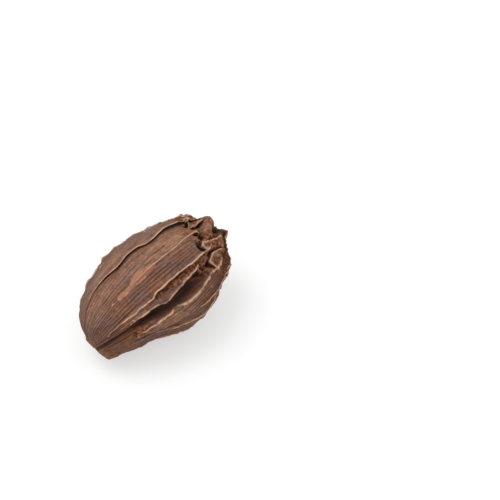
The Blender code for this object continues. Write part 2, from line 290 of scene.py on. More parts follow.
WINGS = (
    Wing("far_underside", ((0.0, -146), (0.5, -148), (1.0, -150)), 0.45, 0.42, 0.10, 0.93),
    Wing(
        "far_flank",
        ((0.0, -120), (0.4, -114), (0.7, -118), (1.0, -116)),
        0.75, 0.34, 0.12, 0.93, -0.7, 1.0, 0.4, 0.25, Drop.FAR,
    ),
    Wing(
        "far_side",
        ((0.0, -82), (0.35, -84), (0.7, -80), (1.0, -84)),
        0.6, 0.32, 0.10, 0.92, 0.7, 1.2, 0.4, 0.25, Drop.NEAR,
    ),
    Wing(
        "back_edge",
        ((0.0, -46), (0.2, -53), (0.4, -49), (0.6, -52), (1.0, -50)),
        0.38, 0.3, 0.08, 0.88, -0.5, 0.8, 0.65, 0.25, Drop.FAR,
    ),
    Wing(
        "top_wing",
        (
            (0.0, -14), (0.2, -22), (0.34, -20), (0.41, -15), (0.46, -16), (0.505, -14.7),
            (0.545, -9.5), (0.58, -10.3), (0.61, -12.3), (0.645, -14.7), (0.715, -14.2),
            (0.74, -12), (0.8, -12), (1.0, -14),
        ),
        0.7, 0.28, 0.24, 0.84, 0.8, 1.15, 0.3, 0.2, Drop.NEAR,
    ),
    Wing(
        "patch_ridge",
        ((0.0, 12), (0.3, 13), (0.48, 14), (0.58, 14), (0.66, 12), (1.0, 6)),
        0.34, 0.22, 0.28, 0.78, 0.4, 1.0, 0.4, 0.12,
    ),
    Wing(
        "furrow_lip",
        (
            (0.0, 34), (0.2, 37), (0.36, 37), (0.41, 38.6), (0.433, 36.2), (0.45, 35.5), (0.475, 35.7),
            (0.503, 34.9), (0.59, 34.3), (0.626, 35.8), (0.7, 36), (0.8, 34), (1.0, 34),
        ),
        0.6, 0.3, 0.16, 0.78, 0.6, 1.1, 0.35, 0.2, Drop.NEAR,
    ),
    Wing(
        "furrow_ledge",
        (
            (0.0, 44), (0.3, 45), (0.408, 48), (0.45, 52), (0.477, 48.8), (0.505, 47.7),
            (0.532, 46.7), (0.556, 44.3), (0.6, 44), (0.7, 43), (1.0, 44),
        ),
        0.5, 0.22, 0.2, 0.68, 0.6, 1.0, 0.6, 0.25, Drop.NEAR,
    ),
    Wing(
        "furrow_wing",
        (
            (0.0, 62), (0.31, 63.7), (0.36, 64.6), (0.394, 63.3), (0.424, 64.3), (0.457, 63.2),
            (0.5, 64), (0.56, 64.8), (0.623, 63.4), (0.648, 62), (0.676, 59), (0.72, 58), (1.0, 58),
        ),
        0.7, 0.26, 0.22, 0.8, 0.7, 1.0, 0.35, 0.22, Drop.NEAR,
    ),
    Wing(
        "side_fold",
        ((0.0, 84), (0.5, 85), (0.65, 86), (0.75, 86), (1.0, 80)),
        0.5, 0.3, 0.46, 0.9, 0.3, 1.0, 0.5, 0.3, Drop.NEAR,
    ),
    Wing(
        "near_side",
        ((0.0, 102), (0.3, 97), (0.4, 96), (0.6, 101), (0.75, 98), (1.0, 94)),
        0.45, 0.3, 0.30, 0.92, 0.4, 1.0, 0.4, 0.2, Drop.NEAR,
    ),
    Wing(
        "near_flank",
        ((0.0, 128), (0.4, 125), (0.7, 122), (1.0, 126)),
        0.6, 0.34, 0.10, 0.93, 0.6, 1.0, 0.4, 0.25, Drop.NEAR,
    ),
    Wing("near_underside", ((0.0, 153), (0.5, 154), (1.0, 156)), 0.45, 0.42, 0.12, 0.93),
)

RIMS = (
    Rim("wing_curl", ((0.735, -15), (0.751, -13), (0.757, -8.5), (0.748, -2.5)), 0.4, 0.25, 0.3, 0.3),
    Rim("crown_pocket_lip", ((0.725, 1), (0.751, -1), (0.79, -5), (0.81, -7), (0.83, -9)), 0.6, 0.3, 0.5),
    Rim("small_lip", ((0.712, 10), (0.723, 10), (0.738, 11), (0.752, 15.5)), 0.35, 0.25, 0.4),
    Rim(
        "folded_edge",
        ((0.873, 36.5), (0.791, 35.3), (0.753, 32.3), (0.721, 28), (0.713, 31), (0.72, 39.5)),
        0.65, 0.35, 0.5, 0.4,
    ),
    Rim(
        "hooked_edge",
        (
            (0.835, 59), (0.765, 47.5), (0.74, 46), (0.718, 47.5),
            (0.701, 50), (0.702, 56), (0.702, 61), (0.685, 60.5),
        ),
        0.42, 0.3, 0.25, 0.4,
    ),
    Rim("right_fold", ((0.885, 28), (0.875, 41), (0.86, 45), (0.845, 57), (0.85, 66)), 0.3, 0.3, 0.0, 0.3),
    Rim(
        "second_line",
        ((0.36, -15), (0.309, -15), (0.275, -15), (0.23, -16), (0.16, -15)),
        0.2, 0.2, 0.0, -0.2, 0.5,
    ),
    Rim("low_ridge", ((0.53, 4.5), (0.56, 4), (0.6, 3)), 0.14, 0.2, 0.0, 0.2, 0.3),
    Rim("crease_below", ((0.46, 99), (0.36, 89), (0.31, 86), (0.2, 78)), 0.2, 0.5, 0.12, 0.3, 0.3),
    Rim("ledge_curl", ((0.60, 50), (0.615, 46), (0.635, 47), (0.63, 50)), 0.3, 0.15, 0.2, 0.1, 0.3),
)


@dataclass(frozen=True)
class PanelEnds:
    """The lips where the panels of the hidden sides end in the crumpled collar, with a fold behind each.

    Panels are (lowest, highest) degrees. A lip's points are (share of the panel from its high side, t past
    its end), and a fold's are (share of the panel past its start, t past the end). The other pairs are the
    ranges that values are drawn from.
    """

    seed: int = 5
    panels: Points = ((-146, -117), (-117, -82), (-82, -56), (98, 123), (123, 155), (156, 212))
    end: float = 0.725
    end_shift: Span = (-0.012, 0.02)
    lip: Points = ((0.08, -0.012), (0.35, 0.01), (0.62, 0.0), (0.92, -0.014))
    lip_shift: Span = (-0.008, 0.008)
    fold: Points = ((0.0, 0.04), (0.15, 0.08), (0.0, 0.13))
    fold_start: Span = (0.3, 0.7)

    def rims(self) -> tuple[Rim, ...]:
        """Draws them.

        Returns:
            Two rims for each panel.
        """
        chance = random.Random(self.seed)
        rims = []
        for index, (low, high) in enumerate(self.panels):
            t = self.end + chance.uniform(*self.end_shift)
            width = high - low
            lip = tuple(
                (t + bulge + chance.uniform(*self.lip_shift), high - width * share)
                for share, bulge in self.lip
            )
            rims.append(Rim(f"panel_end_{index}", lip, height=0.4, foot=0.45, pocket=0.35, lean=0.3))
            start = chance.uniform(*self.fold_start)
            fold = tuple((t + behind, low + width * (start + share)) for share, behind in self.fold)
            rims.append(Rim(f"collar_fold_{index}", fold, height=0.6, foot=0.3, pocket=0.4, lean=0.4))
        return tuple(rims)


SWELLS = (
    Swell("tip_knob", 0.06, 118, 2.5, 3.8, 1.1, 3.0),
    Swell("knob_corner", 0.085, 66, 0.9, 0.8, 0.28, 2.5),
    Swell("near_flank_flat", 0.28, 110, 5.5, 4.2, -0.95),
    Swell("near_flank_dip", 0.35, 108, 4.6, 3.4, -0.95),
    Swell("near_shoulder_dip", 0.70, 104, 3.2, 2.4, -0.5),
    Swell("back_flat", 0.58, -60, 4.5, 3.6, -0.5),
    Swell("back_dip", 0.66, -48, 4.4, 2.4, -1.0),
    Swell("first_back_bump", 0.40, -48, 0.5, 0.35, 0.25),
    Swell("second_back_bump", 0.475, -48, 0.4, 0.3, 0.12),
    Swell("back_notch", 0.497, -50, 0.9, 0.8, -0.3),
    Swell("back_flat_low", 0.27, -52, 3.0, 2.2, -0.22),
    Swell("tip_flat", 0.075, 12, 1.2, 1.8, -0.25, 2.5),
    Swell("fold_in_furrow", 0.305, 63, 0.9, 0.6, 0.4, 3.0),
    Swell("fold_below_furrow", 0.272, 70, 0.7, 0.55, 0.3, 3.0),
    Swell("resting_belly", 0.56, 180, 6.0, 4.0, 0.5, 3.0),
    Swell("crown_lobe", 0.85, -2, 1.25, 0.95, 1.15, 3.0),
    Swell("crown_tongue", 0.805, 12, 1.0, 0.85, 0.95, 3.0),
    Swell("folded_lobe", 0.805, 41, 2.25, 1.55, 0.6, 3.4, 0.0, -0.3),
    Swell("hooked_lobe", 0.755, 51, 0.8, 0.45, 0.3, 2.4, 0.0, -0.2),
    Swell("crumb_by_hook", 0.695, 45, 0.45, 0.35, 0.3, 2.2),
    Swell("upper_right_lobe", 0.895, 32, 1.2, 1.0, 1.2, 2.8),
    Swell("red_lobe", 0.81, 92, 1.2, 1.7, 0.1, 3.0),
    Swell("back_lobe", 0.775, -42, 1.3, 1.2, 0.05, 2.8),
    Swell("top_lobe", 0.88, -26, 1.1, 1.1, 0.95, 2.8),
    Swell("far_dip", 0.66, -80, 4.2, 1.8, -0.55),
    Swell("far_lobe", 0.80, -74, 1.8, 1.6, 0.35, 2.6, -0.2),
    Swell("far_low_lobe", 0.78, -102, 2.0, 1.9, 0.9, 2.6),
    Swell("under_far_lobe", 0.82, -136, 1.7, 1.7, 0.7, 2.4),
    Swell("under_near_lobe", 0.81, 144, 1.7, 1.8, 0.7, 2.4),
    Swell("near_low_lobe", 0.79, 122, 1.6, 1.3, 0.15, 2.4),
)

POCKETS = (
    Swell("under_top_wing", 0.738, -5, 0.6, 0.45, -1.15, 2.6),
    Swell("by_pocket_lip", 0.785, 0, 0.8, 0.4, -1.25),
    Swell("under_small_lip", 0.752, 20, 0.55, 0.5, -1.1),
    Swell("before_folded_lobe", 0.702, 32, 0.35, 1.0, -0.8),
    Swell("behind_crown_lobe", 0.87, 21, 1.1, 0.6, -1.1),
    Swell("in_furrow_head", 0.688, 52.5, 0.4, 0.4, -1.1),
    Swell("furrow_corner", 0.615, 52, 0.5, 0.4, -0.5),
    Swell("by_folded_lobe", 0.735, 44.5, 0.7, 0.25, -0.5),
    Swell("by_red_lobe", 0.81, 68, 0.9, 0.4, -0.9),
    Swell("by_right_lobe", 0.87, 78, 0.8, 0.7, -0.7),
    Swell("top_notch", 0.83, -38, 0.4, 0.8, -0.5),
)

FLECKS = (
    Patch("near_tip", 0.178, 39, 0.21, 0.12),
    Patch("bead_one", 0.32, 38, 0.19, 0.11),
    Patch("bead_two", 0.30, 44, 0.17, 0.1),
    Patch("bead_three", 0.286, 45.5, 0.15, 0.09),
    Patch("rib_top", 0.286, 13, 0.38, 0.08),
    Patch("thin_bead", 0.164, 23, 0.26, 0.07),
    Patch("panel_bead", 0.351, -1, 0.15, 0.08),
    Patch("side_star", 0.644, 76, 0.3, 0.12),
    Patch("side_star_arm", 0.648, 77, 0.09, 0.27),
    Patch("below_wing", 0.496, 70, 0.18, 0.15),
    Patch("back_flake", 0.375, -45, 0.56, 0.15),
    Patch("back_dot", 0.411, -23, 0.19, 0.08),
    Patch("scratch", 0.585, -31, 0.09, 0.68),
    Patch("back_lobe_dot", 0.715, -34, 0.19, 0.15),
)

FURROWS = (
    Furrow(
        "deep_furrow",
        ((0.0, 50), (0.15, 50), (0.3, 53), (0.45, 57.5), (0.6, 55), (0.7, 53), (1.0, 52)),
        ((0.0, 0.25), (0.24, 0.3), (0.34, 0.6), (0.46, 0.85), (0.6, 0.9), (0.72, 0.8), (1.0, 0.6)),
        (
            (0.0, 0.35), (0.05, 0.6), (0.26, 0.6), (0.38, 1.2),
            (0.54, 1.2), (0.62, 0.8), (0.7, 0.0), (1.0, 0.0),
        ),
    ),
    Furrow(
        "far_furrow",
        ((0.0, -98), (0.5, -100), (1.0, -98)),
        ((0.0, 0.5), (0.5, 1.3), (1.0, 0.8)),
        ((0.0, 0.0), (0.15, 0.3), (0.5, 0.8), (0.75, 0.4), (0.85, 0.0), (1.0, 0.0)),
    ),
)

PEELED = (
    Patch("peeled_middle", 0.432, 13.0, 1.5, 0.85),
    Patch("peeled_end", 0.485, 14.5, 0.9, 0.4),
    Patch("peeled_join", 0.385, 14.5, 0.8, 0.24),
    Patch("peeled_tail", 0.345, 14.5, 1.1, 0.45),
)

WARTY = (
    Patch("furrow_head", 0.655, 51, 1.8, 1.4),
    Patch("folded_face", 0.785, 38, 1.5, 1.4),
    Patch("below_furrow", 0.29, 64, 1.6, 1.3),
    Patch("slope_by_furrow", 0.52, 41, 4.6, 0.5),
    Patch("patch_end", 0.70, 7, 0.9, 0.5),
    Patch("knob", 0.1, 98, 1.7, 1.5),
)

# Paler patches: the husk's own wear, and a painted highlight on the top panel and on the crown's smooth
# lobes.
WEAR_AND_HIGHLIGHT = (
    Patch("top_panel", 0.55, -3, 6.5, 2.0),
    Patch("above_peeled", 0.6, 8, 3.0, 1.2),
    Patch("ridge", 0.6, 13.5, 3.6, 0.3),
    Patch("left_of_tip", 0.24, -12, 4.0, 2.0),
    Patch("middle_of_back", 0.4, -30, 4.0, 1.0),
    Patch("slope_to_tip", 0.33, 42.0, 3.0, 0.5),
    Patch("crown_lobe", 0.81, 8, 1.5, 1.3),
    Patch("crown_tongue", 0.8, 13, 0.9, 0.8),
    Patch("tube", 0.75, 52, 0.8, 0.5),
    Patch("folded_corner", 0.73, 33, 0.8, 0.8),
    Patch("folded_face", 0.81, 44, 1.4, 0.6),
    Patch("near_panel", 0.45, 76, 6.0, 1.5),
    Patch("knob", 0.07, 110, 2.2, 2.6),
)

# Greyer patches: the husk's own dust, and a painted cool sheen on the back panel and the furrow's floor.
DUST_AND_SHEEN = (
    Patch("back_panel", 0.5, -44, 9.0, 3.4),
    Patch("furrow_floor", 0.5, 55, 4.5, 0.8),
    Patch("far_panel", 0.45, -100, 7.0, 2.5),
)

# Darker red-brown patches: the lobes' own stains, and painted shade below the lip, on the furrow's wall, in
# the crown's gap, along the tip's crease and on the near shoulder.
STAIN_AND_SHADE = (
    Patch("red_lobe", 0.81, 88, 1.8, 2.4),
    Patch("below_lip", 0.50, 38, 5.5, 0.35),
    Patch("furrow_wall", 0.52, 61, 5.0, 0.5),
    Patch("near_shoulder", 0.68, 92, 3.5, 2.6),
    Patch("crown_gap", 0.86, 24, 1.2, 0.9),
    Patch("tip_crease", 0.2, 58, 3.5, 0.5),
    Patch("back_lobe", 0.79, -46, 2.2, 1.8),
    Patch("top_lobe", 0.9, -25, 1.2, 1.2),
)

RIBBED = (
    (0.6, Patch("near_tip", 0.20, 34, 5.0, 3.0)),
    (0.35, Patch("tip_ring", 0.10, 10, 2.5, 5.0)),
    (0.42, Patch("between_ridge_and_lip", 0.52, 27, 7.0, 2.0)),
    (0.25, Patch("between_wing_and_ridge", 0.35, 0, 7.0, 2.2)),
    (0.4, Patch("near_panel", 0.5, 90, 7.5, 3.5)),
    (0.4, Patch("underside", 0.5, 160, 9.0, 9.0)),
    (0.4, Patch("far_side", 0.5, -110, 9.0, 6.0)),
)


@dataclass
class Outline:
    """The pod's half outline on its bent axis, in mm."""

    body_length: float = 27.4
    body_radius: float = 8.8
    top_to_side: float = 0.94
    climb_degrees: tuple[float, float, float] = (28.0, 12.0, 2.0)
    crown_rim: tuple[float, float] = (0.25, 0.6)
    pit_width: float = 0.7
    pit_floor: float = -0.05
    stub_radius: float = 1.5
    stub_length: float = 0.7
    stub_foot: tuple[float, float] = (0.45, 0.98)
    stub_shoulder: float = 0.85
    stub_end: float = 0.72
    line_samples: int = 600
    axis_samples: int = 300
    shares: Points = (
        (0.000, 0.000),
        (0.008, 0.130),
        (0.042, 0.400),
        (0.115, 0.630),
        (0.235, 0.820),
        (0.400, 0.955),
        (0.565, 1.000),
        (0.710, 0.915),
        (0.825, 0.745),
        (0.905, 0.540),
        (0.950, 0.380),
    )

    def __post_init__(self) -> None:
        """Draws the outline, its length and its direction."""
        body = [(x * self.body_length, r * self.body_radius) for x, r in self.shares]
        shoulder = body[-1][0]
        rim_rise, rim_width = self.crown_rim
        foot_rise, foot_share = self.stub_foot
        crown = [
            (shoulder + rim_rise, self.stub_radius + self.pit_width + rim_width),
            (shoulder + self.pit_floor, self.stub_radius + self.pit_width / 2),
            (shoulder + foot_rise, self.stub_radius * foot_share),
            (shoulder + self.stub_length * self.stub_shoulder, self.stub_radius),
            (shoulder + self.stub_length, self.stub_radius * self.stub_end),
            (shoulder + self.stub_length, 0.0),
        ]
        self.line = round_curve(np.array(body + crown), self.line_samples)
        self.line[:, 1] = np.maximum(self.line[:, 1], 0.0)
        self.length = np.r_[0.0, np.cumsum(np.hypot(*np.diff(self.line, axis=0).T))]
        self.run = np.gradient(self.line, axis=0)
        self.run /= np.linalg.norm(self.run, axis=1)[:, None]

    @property
    def skin_length(self) -> float:
        """Length of the outline from the tip to the middle of the stub."""
        return float(self.length[-1])

    @property
    def end(self) -> float:
        """The stub's end on the centre line."""
        return float(self.line[-1, 0])

    def at(self, t: np.ndarray) -> tuple[np.ndarray, np.ndarray, np.ndarray, np.ndarray]:
        """Reads the outline.

        Args:
            t: Places along it, 0 to 1.

        Returns:
            Axial place, radius, and the axial and radial parts of its direction.
        """
        reach = t * self.skin_length
        columns = (*self.line.T, *self.run.T)
        return tuple(np.interp(reach, self.length, column) for column in columns)

    def bent_axis(self, axial: np.ndarray) -> tuple[np.ndarray, np.ndarray, np.ndarray]:
        """Follows the centre line.

        Args:
            axial: Distances along it from the tip, in mm.

        Returns:
            x and z in mm, and the climb in radians.
        """
        s = np.linspace(0.0, self.body_length + self.stub_length, self.axis_samples)
        climb = np.radians(np.interp(s / s[-1], (0.0, 0.5, 1.0), self.climb_degrees))
        step = s[1] - s[0]
        x = np.r_[0.0, np.cumsum(np.cos(climb[:-1])) * step]
        z = np.r_[0.0, np.cumsum(np.sin(climb[:-1])) * step]
        return np.interp(axial, s, x), np.interp(axial, s, z), np.interp(axial, s, climb)


class Mask(Enum):
    """The husk's painted-in marks. Each is stored on the mesh as a number at every point."""

    CREST = "crest"
    # Painted shade in the furrows and pockets, and painted shadow under steep crests.
    HOLLOW_SHADE = "hollow_shade"
    COLLAR = "collar"
    PEELED = "peeled"
    WARTY = "warty"
    # The ribs' profile, which paints light on their crests and shade between them.
    RIB = "rib"
    EDGE = "edge"
    # Where the skin bends in, which gets painted shade.
    GROOVE = "groove"
    # Paler wear, partly a painted highlight.
    WEAR_AND_HIGHLIGHT = "wear_and_highlight"
    # Grey dust, partly a painted sheen.
    DUST_AND_SHEEN = "dust_and_sheen"
    # Dark stains, partly painted shade.
    STAIN_AND_SHADE = "stain_and_shade"


@dataclass
class Husk:
    """The pod's skin as a fine closed grid of rows (along) by columns (round).

    Sizes are in mm. A Span is the t where something starts and the t where it is complete, or two limits.
    """

    outline: Outline = field(default_factory=Outline)
    rows: int = 228
    row_samples: int = 800
    tip_crowding: tuple[float, float] = (1.0, 0.05)
    collar_crowding: float = 0.9
    crowded_from: Span = (0.64, 0.7)
    fine_pitch_degrees: float = 0.66
    coarse_pitch_degrees: float = 1.15
    fine_side_degrees: tuple[float, float] = (-62.0, 130.0)
    fewest_columns: int = 6
    crest_gather: float = 0.45

    furrow_steepness: float = 3.0
    furrow_shade: float = 0.8
    furrow_shade_strength: float = 0.8
    darkest_depth: float = 1.2

    body_ends: Span = (0.86, 0.92)
    body_starts: Span = (0.0, 0.08)
    collar_starts: Span = (0.60, 0.74)
    wander_starts: Span = (0.02, 0.2)
    smallest_turn_radius: float = 2.0
    wander_spacing: float = 9.0
    tear_spacing: float = 5.0
    wing_rise: float = 0.22
    wing_fall: float = 0.08
    low_wing: float = 0.22
    low_wing_starts: Span = (0.03, 0.14)

    crest_core: float = 0.05
    broad_share: float = 0.4
    panel_rise: float = 5.0
    edge_share: float = 0.5
    drop_width: float = 0.07
    lean_width: float = 0.22
    pale_width: float = 0.12
    full_crest: float = 0.35
    torn_pale: float = 1.5
    torn_pale_limits: Span = (0.2, 1.2)
    shadow_middle: float = 0.2
    shadow_width: float = 0.14
    rim_taper: float = 0.15
    rim_pocket_middle: float = 0.35
    rim_pocket_width: float = 0.3
    pocket_shade: float = 1.5
    fleck_height: float = 0.08
    fleck_body: float = 1.4

    ribs_round: int = 100
    rib_height: float = 0.3
    rib_sharpness: float = 0.8
    rib_strength: float = 0.8
    rib_strength_limits: Span = (0.15, 2.0)
    rib_streak: float = 0.35
    highest_rib: float = 1.2
    thinnest_rib: float = 0.3
    ribs_everywhere: float = 0.1
    rib_mark_gain: float = 2.0
    ribs_start: Span = (0.03, 0.15)
    ribs_end: Span = (0.7, 0.79)

    wrinkle_depth: float = 0.05
    crumples_start: Span = (0.67, 0.76)
    crumples_calm: Span = (0.93, 0.98)
    calm_share: float = 0.5
    warp_reach: float = 0.6
    fold_level: float = 0.6
    crease_level: float = 0.5
    crumple_depth: float = 0.3
    crease_depth: float = 0.13
    grit_depth: float = 0.06
    wart_height: float = 0.4
    wart_grit: float = 0.3
    deepest_wart: float = -0.2

    shift_to_centre: tuple[float, float] = (0.20, 0.10)
    flat_spot_depth: float = 0.42
    tip_dimple: float = 0.25
    smoothing_passes: int = 6
    full_edge: float = 0.08
    full_groove: float = 0.06

    def lay_out(self) -> None:
        """Lays the rows and columns out on the plain body."""
        self.t = self.row_places()[1:-1]
        self.axial, self.radius, run_axial, run_radial = self.outline.at(self.t)
        self.run_axial, self.run_radial = run_axial[:, None], run_radial[:, None]
        self.paths = np.array([self.wing_path(index, wing) for index, wing in enumerate(WINGS)])
        self.degrees = self.columns()
        nothing = np.zeros_like(self.degrees)
        self.plain = self.place(nothing, nothing, nothing)
        turn = np.radians(self.degrees)
        reach = np.broadcast_to((self.t * self.outline.skin_length)[:, None], self.degrees.shape)
        around = self.outline.body_radius
        self.grain = np.stack([around * np.cos(turn), around * np.sin(turn), reach], axis=-1)

    def row_places(self) -> np.ndarray:
        """Spaces the rows: closer together at the tip and in the crumpled collar.

        Returns:
            The t of each row.
        """
        t = np.linspace(0.0, 1.0, self.row_samples)
        at_tip, tip_width = self.tip_crowding
        crowding = 1.0 + at_tip * np.exp(-((t / tip_width) ** 2))
        crowding += self.collar_crowding * smooth_step(*self.crowded_from, t)
        pace = np.r_[0.0, np.cumsum((crowding[1:] + crowding[:-1]) / 2)]
        return np.interp(np.linspace(0.0, pace[-1], self.rows + 1), pace, t)

    def row_spots(self, place: float, layer: float) -> np.ndarray:
        """Where a wing reads its noise in each row, at a place and a layer of its own."""
        return np.stack([self.axial, np.full_like(self.axial, place), np.full_like(self.axial, layer)], -1)

    def wing_path(self, index: int, wing: Wing) -> np.ndarray:
        """Follows a wing, with its wander.

        Args:
            index: Its number.
            wing: The wing.

        Returns:
            Its angle in each row, in degrees.
        """
        wander = layered(WING_WANDER, self.row_spots(self.wander_spacing * index, 0.0))
        calm = smooth_step(*self.wander_starts, self.t) * (1 - smooth_step(*self.body_ends, self.t))
        swing = np.degrees(wing.wander * wander * calm / np.maximum(self.radius, self.smallest_turn_radius))
        return curve_through(wing.path, self.t) + swing

    def columns(self) -> np.ndarray:
        """Spreads the columns between the wings, gathered at the crests.

        Returns:
            The angle of every grid point, in degrees.
        """
        degrees = []
        following = np.vstack([self.paths[1:], self.paths[:1] + 360.0])
        for low, high in zip(self.paths, following):
            middle = float((low + high).mean() / 2)
            is_fine = self.fine_side_degrees[0] < middle < self.fine_side_degrees[1]
            pitch = self.fine_pitch_degrees if is_fine else self.coarse_pitch_degrees
            count = max(self.fewest_columns, round(float((high - low).mean()) / pitch))
            q = np.arange(count) / count
            share = q - self.crest_gather / (2 * np.pi) * np.sin(2 * np.pi * q)
            degrees.append(low[:, None] + (high - low)[:, None] * share)
        return np.hstack(degrees)

    def round_distance(self, centre: np.ndarray | float) -> np.ndarray:
        """Signed distance in mm round the pod from an angle, the short way."""
        turn = (self.degrees - centre + 180.0) % 360.0 - 180.0
        return np.radians(turn) * self.radius[:, None]

    def wing_height(self, wing: Wing) -> np.ndarray:
        """Works out how high a wing stands before its crest is torn.

        Args:
            wing: The wing.

        Returns:
            Its height in each row, in mm.
        """
        rise = (1 - self.low_wing) * smooth_step(wing.start, wing.start + self.wing_rise, self.t)
        rise += self.low_wing * smooth_step(*self.low_wing_starts, self.t)
        fall = 1 - smooth_step(wing.end - self.wing_fall, wing.end, self.t)
        at_collar = 1.0 + (wing.collar_height - 1.0) * smooth_step(*self.collar_starts, self.t)
        return wing.height * rise * fall * at_collar

    def blob(self, spot: Swell | Patch, flatness: float = SOFT_EDGE) -> np.ndarray:
        """Draws a soft mound.

        Args:
            spot: Its place and half sizes.
            flatness: How flat its top and how steep its edge is. A soft edge makes it a plain bell.

        Returns:
            Its share of its height at every grid point, 1 at its middle.
        """
        along = (self.t[:, None] - spot.t) * self.outline.skin_length / spot.along
        across = self.round_distance(spot.degrees) / spot.around
        return np.exp(-((along**2 + across**2) ** (flatness / 2)))

    def patches(self, spots: Sequence[Swell | Patch], flatness: float) -> np.ndarray:
        """Several mounds as one mask from 0 to 1."""
        return np.clip(sum(self.blob(spot, flatness) for spot in spots), 0.0, 1.0)

    def raise_mark(self, mask: Mask, values: np.ndarray) -> None:
        """Raises a mark to new values wherever they are above it."""
        np.maximum(self.marks[mask], values, out=self.marks[mask])

    def relief(self) -> None:
        """Works out how far each grid point stands out of the plain skin, and the marks that go with it."""
        shape = self.degrees.shape
        self.outward, self.sideways, self.lengthways = (np.zeros(shape) for _ in range(3))
        self.marks = {mask: np.zeros(shape) for mask in Mask}
        self.add_furrows()
        self.add_wings()
        self.add_swells()
        self.add_rims()
        self.add_flecks()
        self.add_ribs()
        self.add_wrinkles()
        self.add_crumples()
        self.mark_patches()

    def add_furrows(self) -> None:
        """Sinks the furrows, and paints shade along them."""
        for furrow in FURROWS:
            half_width = curve_through(furrow.half_width, self.t)[:, None]
            depth = curve_through(furrow.depth, self.t)[:, None]
            away = self.round_distance(curve_through(furrow.line, self.t)[:, None]) / half_width
            self.outward -= depth * np.exp(-np.abs(away) ** self.furrow_steepness)
            # Painted shade along each furrow, strongest where it is deepest.
            shaded = np.exp(-np.abs(self.furrow_shade * away) ** (self.furrow_steepness + 1))
            dark = self.furrow_shade_strength * shaded * np.clip(depth / self.darkest_depth, 0.0, 1.0)
            self.raise_mark(Mask.HOLLOW_SHADE, dark)

    def crest_profile(self, away: np.ndarray, foot: float, steep: int, torn: np.ndarray) -> np.ndarray:
        """The cross-section of a crest: a broad slope with a narrow torn edge on top.

        Args:
            away: Signed distance from the crest in mm.
            foot: How far its narrow edge reaches, in mm.
            steep: 1 or -1 for a drop on that side of it, 0 for a crest with two gentle slopes.
            torn: How much of its height the edge loses or gains, as a share.

        Returns:
            Its share of the crest's height, 1 at an untorn crest.
        """
        distance = np.sqrt(away**2 + self.crest_core**2) - self.crest_core
        edge = np.exp(-distance / (self.edge_share * foot))
        broad = self.broad_share
        if not steep:
            return broad * np.exp(-distance / foot) + (1 - broad + torn) * edge
        gentle = broad * np.exp(-distance / (self.panel_rise * foot)) + (1 - broad + torn) * edge
        return np.where(away * steep > 0, (1.0 + torn) * np.exp(-distance / self.drop_width), gentle)

    def mark_crest(self, away: np.ndarray, steep: int, height: np.ndarray) -> None:
        """Marks a crest's pale edge, and a line of painted shadow below its steep side.

        Args:
            away: Signed distance from the crest in mm.
            steep: The side of its drop, as in its cross-section.
            height: Its height in mm.
        """
        strength = np.clip(height / self.full_crest, 0.0, 1.0)
        reach = np.where(away * steep > 0, self.drop_width, self.pale_width) if steep else self.pale_width
        self.raise_mark(Mask.CREST, np.exp(-((away / reach) ** 2)) * strength)
        if steep:
            # Painted shadow below the steep side.
            below = np.exp(-(((away * steep - self.shadow_middle) / self.shadow_width) ** 2))
            self.raise_mark(Mask.HOLLOW_SHADE, below * strength)

    def add_wings(self) -> None:
        """Raises the wings, each leaning to its side."""
        for index, wing in enumerate(WINGS):
            height = self.wing_height(wing)[:, None]
            tears = layered(WING_TEARS, self.row_spots(self.tear_spacing * index, 1.0))
            torn = wing.ragged * tears[:, None]
            away = self.round_distance(self.paths[index][:, None])
            steep = wing.drop.value
            fade = self.crest_profile(away, wing.foot, steep, torn)
            self.outward += height * fade
            self.sideways += wing.lean * height * np.exp(-np.abs(away) / self.lean_width) * fade
            pale = np.clip(1.0 + self.torn_pale * torn, *self.torn_pale_limits)
            self.mark_crest(away, steep, height * pale)

    def add_swells(self) -> None:
        """Raises the folds of the crown and the body's few lumps, and sinks the pockets."""
        for swell in SWELLS + POCKETS:
            bulge = swell.height * self.blob(swell, swell.flatness)
            self.outward += bulge
            self.sideways += swell.lean_round * bulge
            self.lengthways += swell.lean_along * bulge
        # Painted shade in the pockets.
        self.raise_mark(Mask.HOLLOW_SHADE, self.pocket_shade * self.patches(POCKETS, SOFT_EDGE))

    def add_rims(self) -> None:
        """Raises the sharp edges of the folded lobes, and the short ridges."""
        along = self.grain[..., 2]
        around = np.radians(self.degrees) * self.radius[:, None]
        for index, rim in enumerate(RIMS + PanelEnds().rims()):
            t, degrees = (np.array(column, float) for column in zip(*rim.path))
            path_round = np.radians(degrees) * self.outline.at(t)[1]
            knots = np.stack([t * self.outline.skin_length, path_round], axis=-1)
            near = Nearness.to_path(along, around, knots)
            ends = smooth_step(0.0, self.rim_taper, near.share)
            ends *= 1 - smooth_step(1.0 - self.rim_taper, 1.0, near.share)
            torn = layered(RIM_TEARS, self.plain, index)
            height = rim.height * ends
            away = near.distance * near.side
            fade = self.crest_profile(away, rim.foot, 1, rim.ragged * torn)
            self.outward += height * fade
            below = np.exp(-(((away - self.rim_pocket_middle) / self.rim_pocket_width) ** 2))
            self.outward -= rim.pocket * ends * below
            lean = rim.lean * height * np.exp(-near.distance / self.lean_width) * fade
            self.lengthways -= lean * np.sin(near.heading)
            self.sideways += lean * np.cos(near.heading)
            self.mark_crest(away, 1, height)

    def add_flecks(self) -> None:
        """Raises the small pale flakes and beads."""
        grit = FLECK_GRIT.at(self.plain)
        for fleck in FLECKS:
            bead = np.clip(self.blob(fleck, BEAD_EDGE) * (self.fleck_body + grit), 0.0, 1.0)
            self.outward += self.fleck_height * bead
            self.raise_mark(Mask.CREST, bead)

